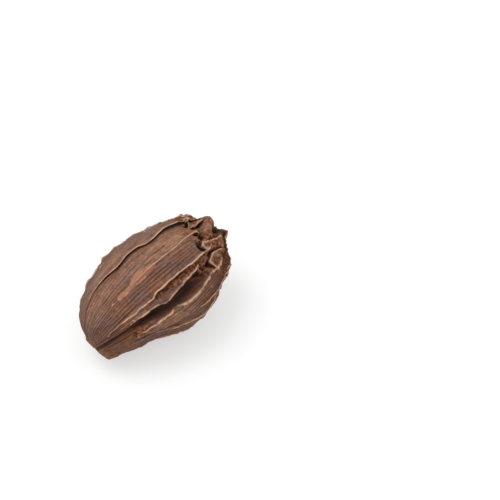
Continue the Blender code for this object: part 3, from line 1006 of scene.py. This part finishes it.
    def add_ribs(self) -> None:
        """Raises the fine ribs that run from the tip to the collar."""
        t = self.t[:, None]
        phase = self.degrees * self.ribs_round / 360.0 + RIB_WOBBLE.at(self.grain)
        rib = (0.5 + 0.5 * np.cos(2 * np.pi * phase)) ** self.rib_sharpness
        rib += self.rib_streak * layered(RIB_STREAKS, self.grain) + RIB_BEADS.at(self.grain) * rib
        rib = np.clip(rib, 0.0, self.highest_rib) - 0.5
        strength = np.clip(self.rib_strength + RIB_STRENGTH.at(self.grain), *self.rib_strength_limits)
        ribbed = smooth_step(*self.ribs_start, t) * (1 - smooth_step(*self.ribs_end, t))
        zones = self.ribs_everywhere + sum(amount * self.blob(zone, FIRM_EDGE) for amount, zone in RIBBED)
        taper = np.clip(self.radius[:, None] / self.outline.body_radius, self.thinnest_rib, 1.0)
        self.outward += self.rib_height * strength * ribbed * taper * zones * rib
        self.marks[Mask.RIB] = 0.5 + rib * ribbed * np.clip(zones * self.rib_mark_gain, 0.0, 1.0)

    def add_wrinkles(self) -> None:
        """Adds the body's dents and wrinkles."""
        t = self.t[:, None]
        in_body = smooth_step(*self.body_starts, t) * (1 - smooth_step(*self.body_ends, t))
        self.outward += DENTS.at(self.plain) * in_body
        self.outward += self.wrinkle_depth * layered(WRINKLES, self.grain) * in_body

    def add_crumples(self) -> None:
        """Adds the collar's folds and creases, and the crumbs of the warty patches."""
        t = self.t[:, None]
        collar = smooth_step(*self.crumples_start, t)
        collar *= 1 - self.calm_share * smooth_step(*self.crumples_calm, t)
        warp = np.stack([pattern.at(self.plain) for pattern in COLLAR_WARP], axis=-1)
        crumpled = self.plain + self.warp_reach * warp
        folds = self.fold_level - np.abs(COLLAR_FOLDS.at(crumpled))
        creases = self.crease_level - np.abs(COLLAR_CREASES.at(crumpled))
        grit = SKIN_GRIT.at(self.plain)
        crumples = self.crumple_depth * folds + self.crease_depth * creases + self.grit_depth * grit
        self.outward += collar * crumples
        warty = self.patches(WARTY, FIRM_EDGE)
        warts = np.clip(WARTS.at(self.plain) + self.wart_grit * grit, self.deepest_wart, 1.0)
        self.outward += self.wart_height * warty * warts
        self.marks[Mask.COLLAR] = np.broadcast_to(collar, self.degrees.shape)
        self.marks[Mask.WARTY] = warty

    def mark_patches(self) -> None:
        """Marks the places with a finish of their own."""
        self.marks[Mask.PEELED] = self.patches(PEELED, FIRM_EDGE)
        self.marks[Mask.WEAR_AND_HIGHLIGHT] = self.patches(WEAR_AND_HIGHLIGHT, SOFT_EDGE)
        self.marks[Mask.STAIN_AND_SHADE] = self.patches(STAIN_AND_SHADE, SOFT_EDGE)
        self.marks[Mask.DUST_AND_SHEEN] = self.patches(DUST_AND_SHEEN, SOFT_EDGE)

    def place(self, outward: np.ndarray, sideways: np.ndarray, lengthways: np.ndarray) -> np.ndarray:
        """Works out the grid's points.

        Args:
            outward: Displacement out of the skin, in mm.
            sideways: Displacement round the pod, in mm.
            lengthways: Displacement along the skin, in mm.

        Returns:
            Points in mm, before the pod is set down in its place.
        """
        turn = np.radians(self.degrees)
        axial = self.axial[:, None] - outward * self.run_radial + lengthways * self.run_axial
        reach = self.radius[:, None] + outward * self.run_axial + lengthways * self.run_radial
        up = (reach * np.cos(turn) - sideways * np.sin(turn)) * self.outline.top_to_side
        near = reach * np.sin(turn) + sideways * np.cos(turn)
        x, z, climb = self.outline.bent_axis(axial)
        return np.stack([x - np.sin(climb) * up, -near, z + np.cos(climb) * up], axis=-1)

    def set_down(self) -> None:
        """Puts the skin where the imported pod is, with its resting spot flat on the surface."""
        plain = self.plain.reshape(-1, 3)
        low, high = plain.min(axis=0), plain.max(axis=0)
        aside, nearer = self.shift_to_centre
        self.shift = np.array([aside - (low[0] + high[0]) / 2, nearer, -low[2] - self.flat_spot_depth])
        self.points = self.place(self.outward, self.sideways, self.lengthways) + self.shift
        self.points[..., 2] = np.maximum(self.points[..., 2], 0.0)

    def on_axis(self, axial: float) -> np.ndarray:
        """A point of the centre line, set down like the skin."""
        x, z, _ = self.outline.bent_axis(np.array(axial))
        return np.array([x, 0.0, z]) + self.shift

    def normals(self) -> np.ndarray:
        """Works out which way the skin faces.

        Returns:
            The outward unit normal of every grid point.
        """
        along = np.gradient(self.points, axis=0)
        around = (np.roll(self.points, -1, axis=1) - np.roll(self.points, 1, axis=1)) / 2
        normal = np.cross(along, around)
        normal /= np.maximum(np.linalg.norm(normal, axis=-1, keepdims=True), np.finfo(float).tiny)
        middle = self.plain.mean(axis=1, keepdims=True) + self.shift
        facing = np.sum(normal * (self.points - middle), axis=-1).mean()
        return normal if facing > 0 else -normal

    def mark_edges(self) -> None:
        """Marks where the skin bends out, for its paler rubbed edges, and where it bends in, for painted
        shade in its creases, from its own shape.
        """
        smoothed = self.points.copy()
        for _ in range(self.smoothing_passes):
            padded = np.pad(smoothed, ((1, 1), (0, 0), (0, 0)), mode="edge")
            smoothed = (padded[:-2] + 2 * smoothed + padded[2:]) / 4
            smoothed = (np.roll(smoothed, 1, axis=1) + 2 * smoothed + np.roll(smoothed, -1, axis=1)) / 4
        stands_out = np.sum((self.points - smoothed) * self.normals(), axis=-1)
        self.marks[Mask.EDGE] = np.clip(stands_out / self.full_edge, 0.0, 1.0)
        self.marks[Mask.GROOVE] = np.clip(-stands_out / self.full_groove, 0.0, 1.0)

    def mesh(self) -> bpy.types.Mesh:
        """Makes the closed mesh, in metres, with its marks.

        Returns:
            The mesh.
        """
        count, columns = self.degrees.shape
        ends = [self.on_axis(self.tip_dimple), self.on_axis(self.outline.end - self.tip_dimple / 2)]
        vertices = np.vstack([self.points.reshape(-1, 3), ends]) * MM
        index = np.arange(count * columns).reshape(count, columns)
        beside = np.roll(index, -1, axis=1)
        quads = np.stack([index[:-1], beside[:-1], beside[1:], index[1:]], axis=-1).reshape(-1, 4)
        tip, stub = count * columns, count * columns + 1
        faces = quads.tolist()
        faces += [(tip, int(b), int(a)) for a, b in zip(index[0], beside[0])]
        faces += [(stub, int(a), int(b)) for a, b in zip(index[-1], beside[-1])]
        mesh = bpy.data.meshes.new("husk")
        mesh.from_pydata(vertices.tolist(), [], faces)
        for mask, values in self.marks.items():
            layer = mesh.attributes.new(mask.value, "FLOAT", "POINT")
            layer.data.foreach_set("value", np.r_[values.ravel(), 0.0, 0.0].astype(np.float32))
        end_places = [(0.0, 0.0, 0.0), (0.0, 0.0, self.outline.skin_length)]
        places = np.vstack([self.grain.reshape(-1, 3), end_places]).astype(np.float32)
        mesh.attributes.new(GRAIN, "FLOAT_VECTOR", "POINT").data.foreach_set("vector", places.ravel())
        mesh.shade_smooth()
        mesh.validate()
        return mesh

    def build(self) -> bpy.types.Object:
        """Builds the husk.

        Returns:
            The husk's object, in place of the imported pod.
        """
        self.lay_out()
        self.relief()
        self.set_down()
        self.mark_edges()
        husk = bpy.data.objects.new("husk", self.mesh())
        bpy.context.scene.collection.objects.link(husk)
        husk.data.materials.append(HuskFinish().material())
        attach(husk, BODY)
        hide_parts(NODE)
        return husk


@dataclass
class StalkFibres:
    """The frayed fibres at the end of the broken stalk.

    Sizes are in mm, and a pair is the range that each fibre's own value is drawn from.
    """

    seed: int = 11
    stalk_fibres: int = 130
    fibre_length: tuple[float, float] = (0.25, 0.75)
    fibre_radius: float = 0.05
    thickness: tuple[float, float] = (0.6, 1.5)
    taper: float = 0.75
    fibre_sides: int = 5
    fibre_steps: int = 4
    root_depth: float = 0.25
    root_sink: float = 0.05
    aim_step: float = 0.2
    inner_every: int = 3
    inner_share: float = 0.8
    outer_share: float = 0.96
    spread: tuple[float, float] = (0.0, 0.35)
    sag_outward: tuple[float, float] = (-0.15, 0.2)
    sag_aside: tuple[float, float] = (-0.1, 0.1)

    def __post_init__(self) -> None:
        """Starts with no fibre."""
        self.chance = random.Random(self.seed)
        self.vertices: list[Vector] = []
        self.faces: list[tuple[int, ...]] = []

    def add_fibre(self, root: Vector, way: Vector, sag: Vector, length: float, radius: float) -> None:
        """Adds one tapered, bent fibre.

        Args:
            root: Where it grows from.
            way: Its first direction.
            sag: How far its end bends aside.
            length: Its length.
            radius: Its radius at the root.
        """
        across = way.orthogonal().normalized()
        up = way.cross(across).normalized()
        start = len(self.vertices)
        sides, steps = self.fibre_sides, self.fibre_steps
        for step in range(steps):
            share = step / steps
            centre = root + way * length * share + sag * share**2
            for side in range(sides):
                turn = 2 * math.pi * side / sides
                reach = radius * (1.0 - self.taper * share)
                self.vertices.append(centre + (across * math.cos(turn) + up * math.sin(turn)) * reach)
        self.vertices += [root + way * length + sag, root]
        point, base = start + steps * sides, start + steps * sides + 1
        for side in range(sides):
            beside = (side + 1) % sides
            self.faces.append((base, start + beside, start + side))
            for step in range(steps - 1):
                low, high = start + step * sides, start + (step + 1) * sides
                self.faces.append((low + side, low + beside, high + beside, high + side))
            last = start + (steps - 1) * sides
            self.faces.append((last + side, last + beside, point))

    def fray_stalk(self, husk: Husk) -> None:
        """Frays the end of the broken stalk.

        Args:
            husk: The husk with the stalk.
        """
        chance = self.chance
        end = husk.outline.end - self.root_depth
        centre = Vector(husk.on_axis(end))
        ahead = (Vector(husk.on_axis(end + self.aim_step)) - centre).normalized()
        near = Vector((0.0, -1.0, 0.0))
        up = near.cross(ahead).normalized()
        for index in range(self.stalk_fibres):
            turn = chance.uniform(0.0, 2 * math.pi)
            is_outer = index % self.inner_every
            share = self.outer_share if is_outer else math.sqrt(chance.random()) * self.inner_share
            spoke = near * math.sin(turn) + up * math.cos(turn)
            way = (ahead + spoke * chance.uniform(*self.spread)).normalized()
            sag = spoke * chance.uniform(*self.sag_outward) + near * chance.uniform(*self.sag_aside)
            length = chance.uniform(*self.fibre_length)
            radius = self.fibre_radius * chance.uniform(*self.thickness)
            root = centre + spoke * (husk.outline.stub_radius * share) - ahead * self.root_sink
            self.add_fibre(root, way, sag, length, radius)

    def build(self, husk: Husk) -> bpy.types.Object:
        """Builds the fibres.

        Args:
            husk: The husk with the stalk.

        Returns:
            Their object.
        """
        self.fray_stalk(husk)
        mesh = bpy.data.meshes.new("stalk_fibres")
        mesh.from_pydata([vertex * MM for vertex in self.vertices], [], self.faces)
        mesh.shade_smooth()
        fibres = bpy.data.objects.new("stalk_fibres", mesh)
        bpy.context.scene.collection.objects.link(fibres)
        mesh.materials.append(FibreFinish().material())
        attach(fibres, BODY)
        return fibres


@dataclass(frozen=True)
class Speckle:
    """A noise texture: its bumps to a mm, detail and roughness, and how much closer together the bumps lie
    along the pod than round it."""

    scale: float
    detail: float = 2.0
    roughness: float = 0.5
    along: float = 1.0


@dataclass(frozen=True)
class Amount:
    """How strongly something shows: a base, and what a pattern from 0 to 1 adds to it."""

    base: float
    added: float

    def of(self, pattern: "Signal") -> "Signal":
        """The amount where the pattern has the value given."""
        return self.base + self.added * pattern


class Signal:
    """A shader node's output, with Python's operators for its maths."""

    def __init__(self, sketch: "Sketch", socket: bpy.types.NodeSocket) -> None:
        """Wraps an output socket of a sketch."""
        self.sketch = sketch
        self.socket = socket

    @property
    def is_number(self) -> bool:
        """True for a plain value, False for a colour or a vector."""
        return self.socket.type == "VALUE"

    def maths(self, operation: str, *others: "Signal | float | tuple") -> "Signal":
        """Adds one Math node, or one Vector Math node if the signal or an operand is a vector.

        Args:
            operation: The node's operation.
            others: The further operands.

        Returns:
            The result.
        """
        operands = (self, *others)
        plain = all(not isinstance(o, tuple) and (not isinstance(o, Signal) or o.is_number) for o in operands)
        kind = "ShaderNodeMath" if plain else "ShaderNodeVectorMath"
        return self.sketch.node(kind, {"operation": operation}, dict(enumerate(operands)))

    def __add__(self, other: "Signal | float") -> "Signal":
        """Sum."""
        return self.maths("ADD", other)

    def __sub__(self, other: "Signal | float") -> "Signal":
        """Difference."""
        return self.maths("SUBTRACT", other)

    def __mul__(self, other: "Signal | float | tuple") -> "Signal":
        """Product."""
        return self.maths("MULTIPLY", other)

    __radd__ = __add__
    __rmul__ = __mul__

    def __rsub__(self, other: float) -> "Signal":
        """A number less this signal."""
        return self * -1.0 + other

    def highest(self, other: "Signal") -> "Signal":
        """The larger of the two."""
        return self.maths("MAXIMUM", other)

    def clamped(self) -> "Signal":
        """Held between 0 and 1."""
        return self.sketch.node("ShaderNodeClamp", {}, {"Value": self})

    def swing(self, amount: float) -> "Signal":
        """How far a noise is from its middle, times an amount."""
        return (self - NOISE_MIDDLE) * amount

    def between(self, low: float, high: float) -> "Signal":
        """Eased from 0 at low to 1 at high."""
        inputs = {"Value": self, "From Min": low, "From Max": high}
        return self.sketch.node("ShaderNodeMapRange", {"interpolation_type": "SMOOTHSTEP"}, inputs)


class Sketch:
    """A material's nodes, drawn by expressions."""

    def __init__(self, name: str) -> None:
        """Starts an empty material.

        Args:
            name: Its name.
        """
        self.material = bpy.data.materials.new(name)
        self.material.use_nodes = True
        self.tree = self.material.node_tree
        self.tree.nodes.clear()

    def node(self, kind: str, settings: dict, inputs: dict, output: int | str = 0) -> Signal:
        """Adds a node.

        Args:
            kind: The node's type.
            settings: Its properties, set before its sockets.
            inputs: A value or a signal for each input, by name or number.
            output: The output to return.

        Returns:
            That output.
        """
        made = self.tree.nodes.new(kind)
        for name, value in settings.items():
            setattr(made, name, value)
        for name, value in inputs.items():
            if isinstance(value, Signal):
                self.tree.links.new(value.socket, made.inputs[name])
            else:
                made.inputs[name].default_value = value
        return Signal(self, made.outputs[output])

    def mark(self, mask: Mask) -> Signal:
        """One of the husk's marks."""
        return self.node("ShaderNodeAttribute", {"attribute_name": mask.value}, {}, "Fac")

    def grain(self) -> Signal:
        """The place along and round the husk that is stored on it, in mm."""
        return self.node("ShaderNodeAttribute", {"attribute_name": GRAIN}, {}, "Vector")

    def spot(self) -> Signal:
        """The place in the object, in metres."""
        return self.node("ShaderNodeTexCoord", {}, {}, "Object")

    def speckle(self, where: Signal, look: Speckle, unit: float = 1.0) -> Signal:
        """Adds a noise texture.

        Args:
            where: The place to read it at.
            look: Its sizes.
            unit: One mm in the place's own unit.

        Returns:
            Noise from about 0 to 1.
        """
        if look.along != 1.0:
            where = where * (1.0, 1.0, look.along)
        inputs = {"Vector": where, "Scale": look.scale / unit}
        inputs |= {"Detail": look.detail, "Roughness": look.roughness}
        return self.node("ShaderNodeTexNoise", {}, inputs, "Fac")

    def blend(self, share: Signal, below: Signal | Colour, above: Signal | Colour) -> Signal:
        """Mixes two colours.

        Args:
            share: How much of the second one there is.
            below: The first colour.
            above: The second colour.

        Returns:
            The mixed colour.
        """
        settings = {"data_type": "RGBA", "blend_type": "MIX"}
        colours = [c if isinstance(c, Signal) else (*c, 1.0) for c in (below, above)]
        return self.node("ShaderNodeMix", settings, {0: share, 6: colours[0], 7: colours[1]}, 2)

    def shaded(self, colour: Signal, amount: Signal) -> Signal:
        """A colour multiplied by an amount that is 1 where it stays as it is."""
        return self.node("ShaderNodeVectorMath", {"operation": "SCALE"}, {0: colour, "Scale": amount})

    def bump(self, height: Signal, distance: float, strength: float) -> Signal:
        """A normal from a height, with its depth in mm."""
        inputs = {"Height": height, "Distance": distance * MM, "Strength": strength}
        return self.node("ShaderNodeBump", {}, inputs, "Normal")

    def finish(self, inputs: dict) -> bpy.types.Material:
        """Ends the sketch in a Principled shader.

        Args:
            inputs: A value or a signal for each of its sockets.

        Returns:
            The material.
        """
        shader = self.node("ShaderNodeBsdfPrincipled", {}, inputs)
        output = self.tree.nodes.new("ShaderNodeOutputMaterial")
        self.tree.links.new(shader.socket, output.inputs["Surface"])
        return self.material


class HuskPatterns:
    """The noise and the marks that several steps of the husk's finish share."""

    streaks_look = Speckle(2.2, 4.0, 0.65, 0.12)
    threads_look = Speckle(6.0, 3.0, 0.7, 0.16)
    cloud_look = Speckle(0.3, 3.0)
    dust_look = Speckle(1.2, 4.0, 0.7)
    crumb_look = Speckle(2.4, 3.0, 0.7)
    grit_look = Speckle(4.0, 4.0, 0.75)

    def __init__(self, sketch: Sketch) -> None:
        """Draws them.

        Args:
            sketch: The material's sketch.
        """
        grain = sketch.grain()
        spot = sketch.spot()
        self.streaks = sketch.speckle(grain, self.streaks_look)
        self.threads = sketch.speckle(grain, self.threads_look)
        self.cloud = sketch.speckle(spot, self.cloud_look, MM)
        self.dust = sketch.speckle(spot, self.dust_look, MM)
        self.crumb = sketch.speckle(spot, self.crumb_look, MM)
        self.grit = sketch.speckle(spot, self.grit_look, MM)
        self.collar = sketch.mark(Mask.COLLAR)
        self.rough_skin = self.collar.highest(sketch.mark(Mask.WARTY))


@dataclass(frozen=True)
class HuskFinish:
    """The dry husk: purple-brown skin with grey dust and some painted sheen, pale torn crests, paler wear
    with some painted highlight, and painted shade in its hollows.

    Colours are linear, and a span holds the two values of a pattern between which one look turns to the next.
    """

    skin: Colour = (0.16, 0.071, 0.04)
    skin_dark: Colour = (0.075, 0.025, 0.012)
    skin_grey: Colour = (0.142, 0.079, 0.063)
    skin_wear_and_highlight: Colour = (0.29, 0.15, 0.092)
    stain_and_shade_colour: Colour = (0.07, 0.021, 0.009)
    red_brown: Colour = (0.085, 0.024, 0.008)
    ochre: Colour = (0.34, 0.108, 0.03)
    hollow_shade: Colour = (0.02, 0.006, 0.003)
    crest: Colour = (0.58, 0.345, 0.22)
    peeled: Colour = (0.44, 0.18, 0.1)

    grey_clouds: Span = (0.4, 0.6)
    ochre_crumbs: Span = (0.42, 0.58)
    dark_streaks: Span = (0.42, 0.68)
    dust_and_sheen: Amount = Amount(0.4, 0.7)
    wear_and_highlight: Amount = Amount(0.3, 0.9)
    stain_and_shade: Amount = Amount(0.15, 1.0)
    crumbled: float = 0.95
    streaked: float = 0.55
    rib_shade: Amount = Amount(0.46, 0.6)
    thread_shade: float = 0.5
    grit_contrast: float = 2.3
    dust_contrast: float = 1.0

    hollow_shade_strength: float = 0.86
    groove_dark: Amount = Amount(0.35, 0.45)
    darkest: float = 0.95
    crest_core: Span = (0.35, 0.9)
    crest_core_share: float = 0.8
    crest_dust: Span = (0.38, 0.6)
    crest_pale: Amount = Amount(0.45, 0.75)
    edge_pale: Amount = Amount(0.34, 0.1)
    stain_and_shade_hide_edge: float = 0.6
    crest_grit: float = 0.3
    palest: float = 0.9

    bare_level: float = 1.1
    bare_threads: float = 3.2
    bare_grit: float = 1.6
    bare_dust: float = 1.6
    fringe_in: Span = (0.3, 0.6)
    fringe_out: Span = (0.5, 0.9)
    fringe_pale: float = 0.45
    bare_from: Span = (0.45, 0.95)
    bare_share: float = 0.7
    bare_spots: Span = (0.5, 0.75)
    bare_shade: Amount = Amount(0.75, 0.5)

    bump_threads: float = 0.9
    bump_grit: Amount = Amount(1.0, 0.8)
    bump_depth: float = 0.16
    bump_strength: float = 1.0
    roughness: Amount = Amount(0.5, 0.3)
    specular: float = 0.14

    def skin_colour(self, sketch: Sketch, seen: HuskPatterns) -> Signal:
        """Mixes the skin's own colour, with its grey places of dust and painted sheen, crumbs, pale places of
        wear and painted highlight, dark places of stain and painted shade, streaks, and painted light and
        shade across the ribs.

        Args:
            sketch: The material's sketch.
            seen: The shared patterns.

        Returns:
            The colour.
        """
        colour = sketch.blend(seen.cloud.between(*self.grey_clouds), self.skin, self.skin_grey)
        # Grey dust, with a painted sheen on the back panel and in the furrow.
        colour = sketch.blend(sketch.mark(Mask.DUST_AND_SHEEN) * self.dust_and_sheen.of(seen.dust), colour, self.skin_grey)
        crumbs = sketch.blend(seen.crumb.between(*self.ochre_crumbs), self.red_brown, self.ochre)
        colour = sketch.blend(seen.rough_skin * self.crumbled, colour, crumbs)
        # Paler wear, with a painted highlight on the top panel and the crown's lobes.
        colour = sketch.blend(sketch.mark(Mask.WEAR_AND_HIGHLIGHT) * self.wear_and_highlight.of(seen.dust), colour, self.skin_wear_and_highlight)
        # Dark stains, with painted shade below the lip, in the furrow, the crown's gap and on the near
        # shoulder.
        colour = sketch.blend(sketch.mark(Mask.STAIN_AND_SHADE) * self.stain_and_shade.of(seen.dust), colour, self.stain_and_shade_colour)
        streaks = seen.streaks.between(*self.dark_streaks) * self.streaked
        colour = sketch.blend(streaks, colour, self.skin_dark)
        # Painted light and shade across the ribs: lighter crests, darker grooves between them.
        ribs = self.rib_shade.of(sketch.mark(Mask.RIB)) + self.thread_shade * seen.threads
        colour = sketch.shaded(colour, ribs)
        specks = 1.0 + seen.grit.swing(self.grit_contrast) + seen.dust.swing(self.dust_contrast)
        return sketch.shaded(colour, specks)

    def with_relief(self, sketch: Sketch, seen: HuskPatterns, colour: Signal) -> Signal:
        """Paints shade into the hollows and creases and under steep crests, and pales the torn crests.

        Args:
            sketch: The material's sketch.
            seen: The shared patterns.
            colour: The skin's own colour.

        Returns:
            The colour with them.
        """
        # Painted shade: the hollows' mark and the creases, blended towards a near-black colour.
        grooves = sketch.mark(Mask.GROOVE) * self.groove_dark.of(seen.rough_skin)
        dark = sketch.mark(Mask.HOLLOW_SHADE) * self.hollow_shade_strength + grooves
        colour = sketch.blend(dark.clamped() * self.darkest, colour, self.hollow_shade)
        crest = sketch.mark(Mask.CREST)
        core = crest.between(*self.crest_core) * self.crest_core_share + crest * (1.0 - self.crest_core_share)
        torn = core * self.crest_pale.of(seen.dust.between(*self.crest_dust))
        clear = 1.0 - sketch.mark(Mask.STAIN_AND_SHADE) * self.stain_and_shade_hide_edge
        edges = sketch.mark(Mask.EDGE) * self.edge_pale.of(seen.collar) * clear
        pale = torn + edges - self.crest_grit * seen.grit
        return sketch.blend(pale.clamped() * self.palest, colour, self.crest)

    def with_peeled_patch(self, sketch: Sketch, seen: HuskPatterns, colour: Signal) -> Signal:
        """Lays the bare patch on the middle panel bare, with its pale fringe.

        Args:
            sketch: The material's sketch.
            seen: The shared patterns.
            colour: The colour of the whole skin.

        Returns:
            The colour with the patch.
        """
        level = self.bare_level + seen.threads.swing(self.bare_threads)
        level = level + seen.grit.swing(self.bare_grit) + seen.dust.swing(self.bare_dust)
        bare = sketch.mark(Mask.PEELED) * level
        fringe = bare.between(*self.fringe_in) - bare.between(*self.fringe_out)
        colour = sketch.blend(fringe * self.fringe_pale, colour, self.crest)
        under = sketch.blend(seen.dust.between(*self.bare_spots), self.peeled, self.crest)
        under = sketch.shaded(under, self.bare_shade.of(seen.grit))
        return sketch.blend(bare.between(*self.bare_from) * self.bare_share, colour, under)

    def material(self) -> bpy.types.Material:
        """Makes the material.

        Returns:
            The material.
        """
        sketch = Sketch("dry_husk")
        seen = HuskPatterns(sketch)
        colour = self.skin_colour(sketch, seen)
        colour = self.with_relief(sketch, seen, colour)
        colour = self.with_peeled_patch(sketch, seen, colour)
        relief = seen.threads * self.bump_threads + seen.grit * self.bump_grit.of(seen.rough_skin)
        return sketch.finish(
            {
                "Base Color": colour,
                "Roughness": self.roughness.of(seen.grit),
                "Specular IOR Level": self.specular,
                "Normal": sketch.bump(relief, self.bump_depth, self.bump_strength),
            }
        )


@dataclass(frozen=True)
class FibreFinish:
    """Dry torn fibre, from straw to brown. Colours are linear."""

    straw: Colour = (0.42, 0.25, 0.15)
    brown: Colour = (0.12, 0.05, 0.026)
    patches: Speckle = Speckle(0.9)
    fine: Speckle = Speckle(5.0)
    straw_patches: Span = (0.4, 0.62)
    shade: Amount = Amount(0.6, 0.8)
    roughness: Amount = Amount(0.6, 0.2)
    specular: float = 0.25
    bump_depth: float = 0.05
    bump_strength: float = 0.6

    def material(self) -> bpy.types.Material:
        """Makes the material.

        Returns:
            The material.
        """
        sketch = Sketch("torn_fibre")
        spot = sketch.spot()
        patch = sketch.speckle(spot, self.patches, MM)
        fine = sketch.speckle(spot, self.fine, MM)
        colour = sketch.blend(patch.between(*self.straw_patches), self.brown, self.straw)
        return sketch.finish(
            {
                "Base Color": sketch.shaded(colour, self.shade.of(fine)),
                "Roughness": self.roughness.of(fine),
                "Specular IOR Level": self.specular,
                "Normal": sketch.bump(fine, self.bump_depth, self.bump_strength),
            }
        )


@dataclass(frozen=True)
class SurfaceFinish:
    """The plain white surface. It glows a little, so that it is as pale as the photograph's."""

    albedo: float = 0.36
    glow: float = 0.52
    roughness: float = 0.9
    specular: float = 0.1

    def material(self) -> bpy.types.Material:
        """Makes the material.

        Returns:
            The material.
        """
        return Sketch("white_surface").finish(
            {
                "Base Color": (self.albedo, self.albedo, self.albedo, 1.0),
                "Roughness": self.roughness,
                "Specular IOR Level": self.specular,
                "Emission Color": (1.0, 1.0, 1.0, 1.0),
                "Emission Strength": self.glow,
            }
        )


@dataclass
class Studio:
    """The white surface, the soft light from above and behind, and the camera. Sizes in mm."""

    floor_half: float = 2000.0
    sky_strength: float = 1.15
    lamp_place: tuple[float, float, float] = (-150.0, 220.0, 680.0)
    lamp_size: float = 400.0
    lamp_watts: float = 2.4
    azimuth_degrees: float = -41.4
    elevation_degrees: float = 50.0
    distance: float = 277.8
    aim: tuple[float, float, float] = (20.95, 0.69, -0.42)
    lens: float = 120.0
    nearest_seen: float = 10.0

    def lay_floor(self) -> bpy.types.Object:
        """Lays the plain white surface.

        Returns:
            Its object.
        """
        half = self.floor_half * MM
        corner_signs = ((-1, -1), (1, -1), (1, 1), (-1, 1))
        mesh = bpy.data.meshes.new("floor")
        mesh.from_pydata([(x * half, y * half, 0.0) for x, y in corner_signs], [], [(0, 1, 2, 3)])
        mesh.materials.append(SurfaceFinish().material())
        floor = bpy.data.objects.new("floor", mesh)
        bpy.context.scene.collection.objects.link(floor)
        return floor

    def light(self) -> None:
        """Sets the even white sky and one large soft lamp."""
        world = bpy.data.worlds.new("sky")
        bpy.context.scene.world = world
        world.use_nodes = True
        sky = world.node_tree.nodes["Background"]
        sky.inputs["Color"].default_value = (1.0, 1.0, 1.0, 1.0)
        sky.inputs["Strength"].default_value = self.sky_strength
        lamp = bpy.data.lights.new("soft_lamp", "AREA")
        lamp.energy = self.lamp_watts
        lamp.size = self.lamp_size * MM
        holder = bpy.data.objects.new("soft_lamp", lamp)
        holder.location = Vector(self.lamp_place) * MM
        holder.rotation_euler = (-holder.location).to_track_quat("-Z", "Y").to_euler()
        bpy.context.scene.collection.objects.link(holder)
        bpy.context.scene.view_settings.view_transform = "Standard"

    def point_camera(self) -> bpy.types.Object:
        """Puts the camera where the photograph was taken from.

        Returns:
            The camera.
        """
        azimuth, elevation = math.radians(self.azimuth_degrees), math.radians(self.elevation_degrees)
        level = math.cos(elevation)
        back = Vector((math.sin(azimuth) * level, -math.cos(azimuth) * level, math.sin(elevation)))
        right = Vector((math.cos(azimuth), math.sin(azimuth), 0.0))
        turn = Matrix((right, back.cross(right), back)).transposed()
        lens = bpy.data.cameras.new("camera")
        lens.lens = self.lens
        lens.clip_start = self.nearest_seen * MM
        camera = bpy.data.objects.new("camera", lens)
        place = Vector(self.aim) + back * self.distance
        camera.matrix_world = Matrix.Translation(place * MM) @ turn.to_4x4()
        bpy.context.scene.collection.objects.link(camera)
        bpy.context.scene.camera = camera
        return camera


def main() -> None:
    """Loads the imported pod, dresses it and sets up the studio."""
    logging.basicConfig(level=logging.INFO, format="%(name)s: %(message)s")
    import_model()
    studio = Studio()
    studio.point_camera()
    husk = Husk()
    skin = husk.build()
    log.info("husk: %d faces", len(skin.data.polygons))
    fibres = StalkFibres().build(husk)
    log.info("stalk fibres: %d faces", len(fibres.data.polygons))
    studio.lay_floor()
    studio.light()


if __name__ == "__main__":
    main()
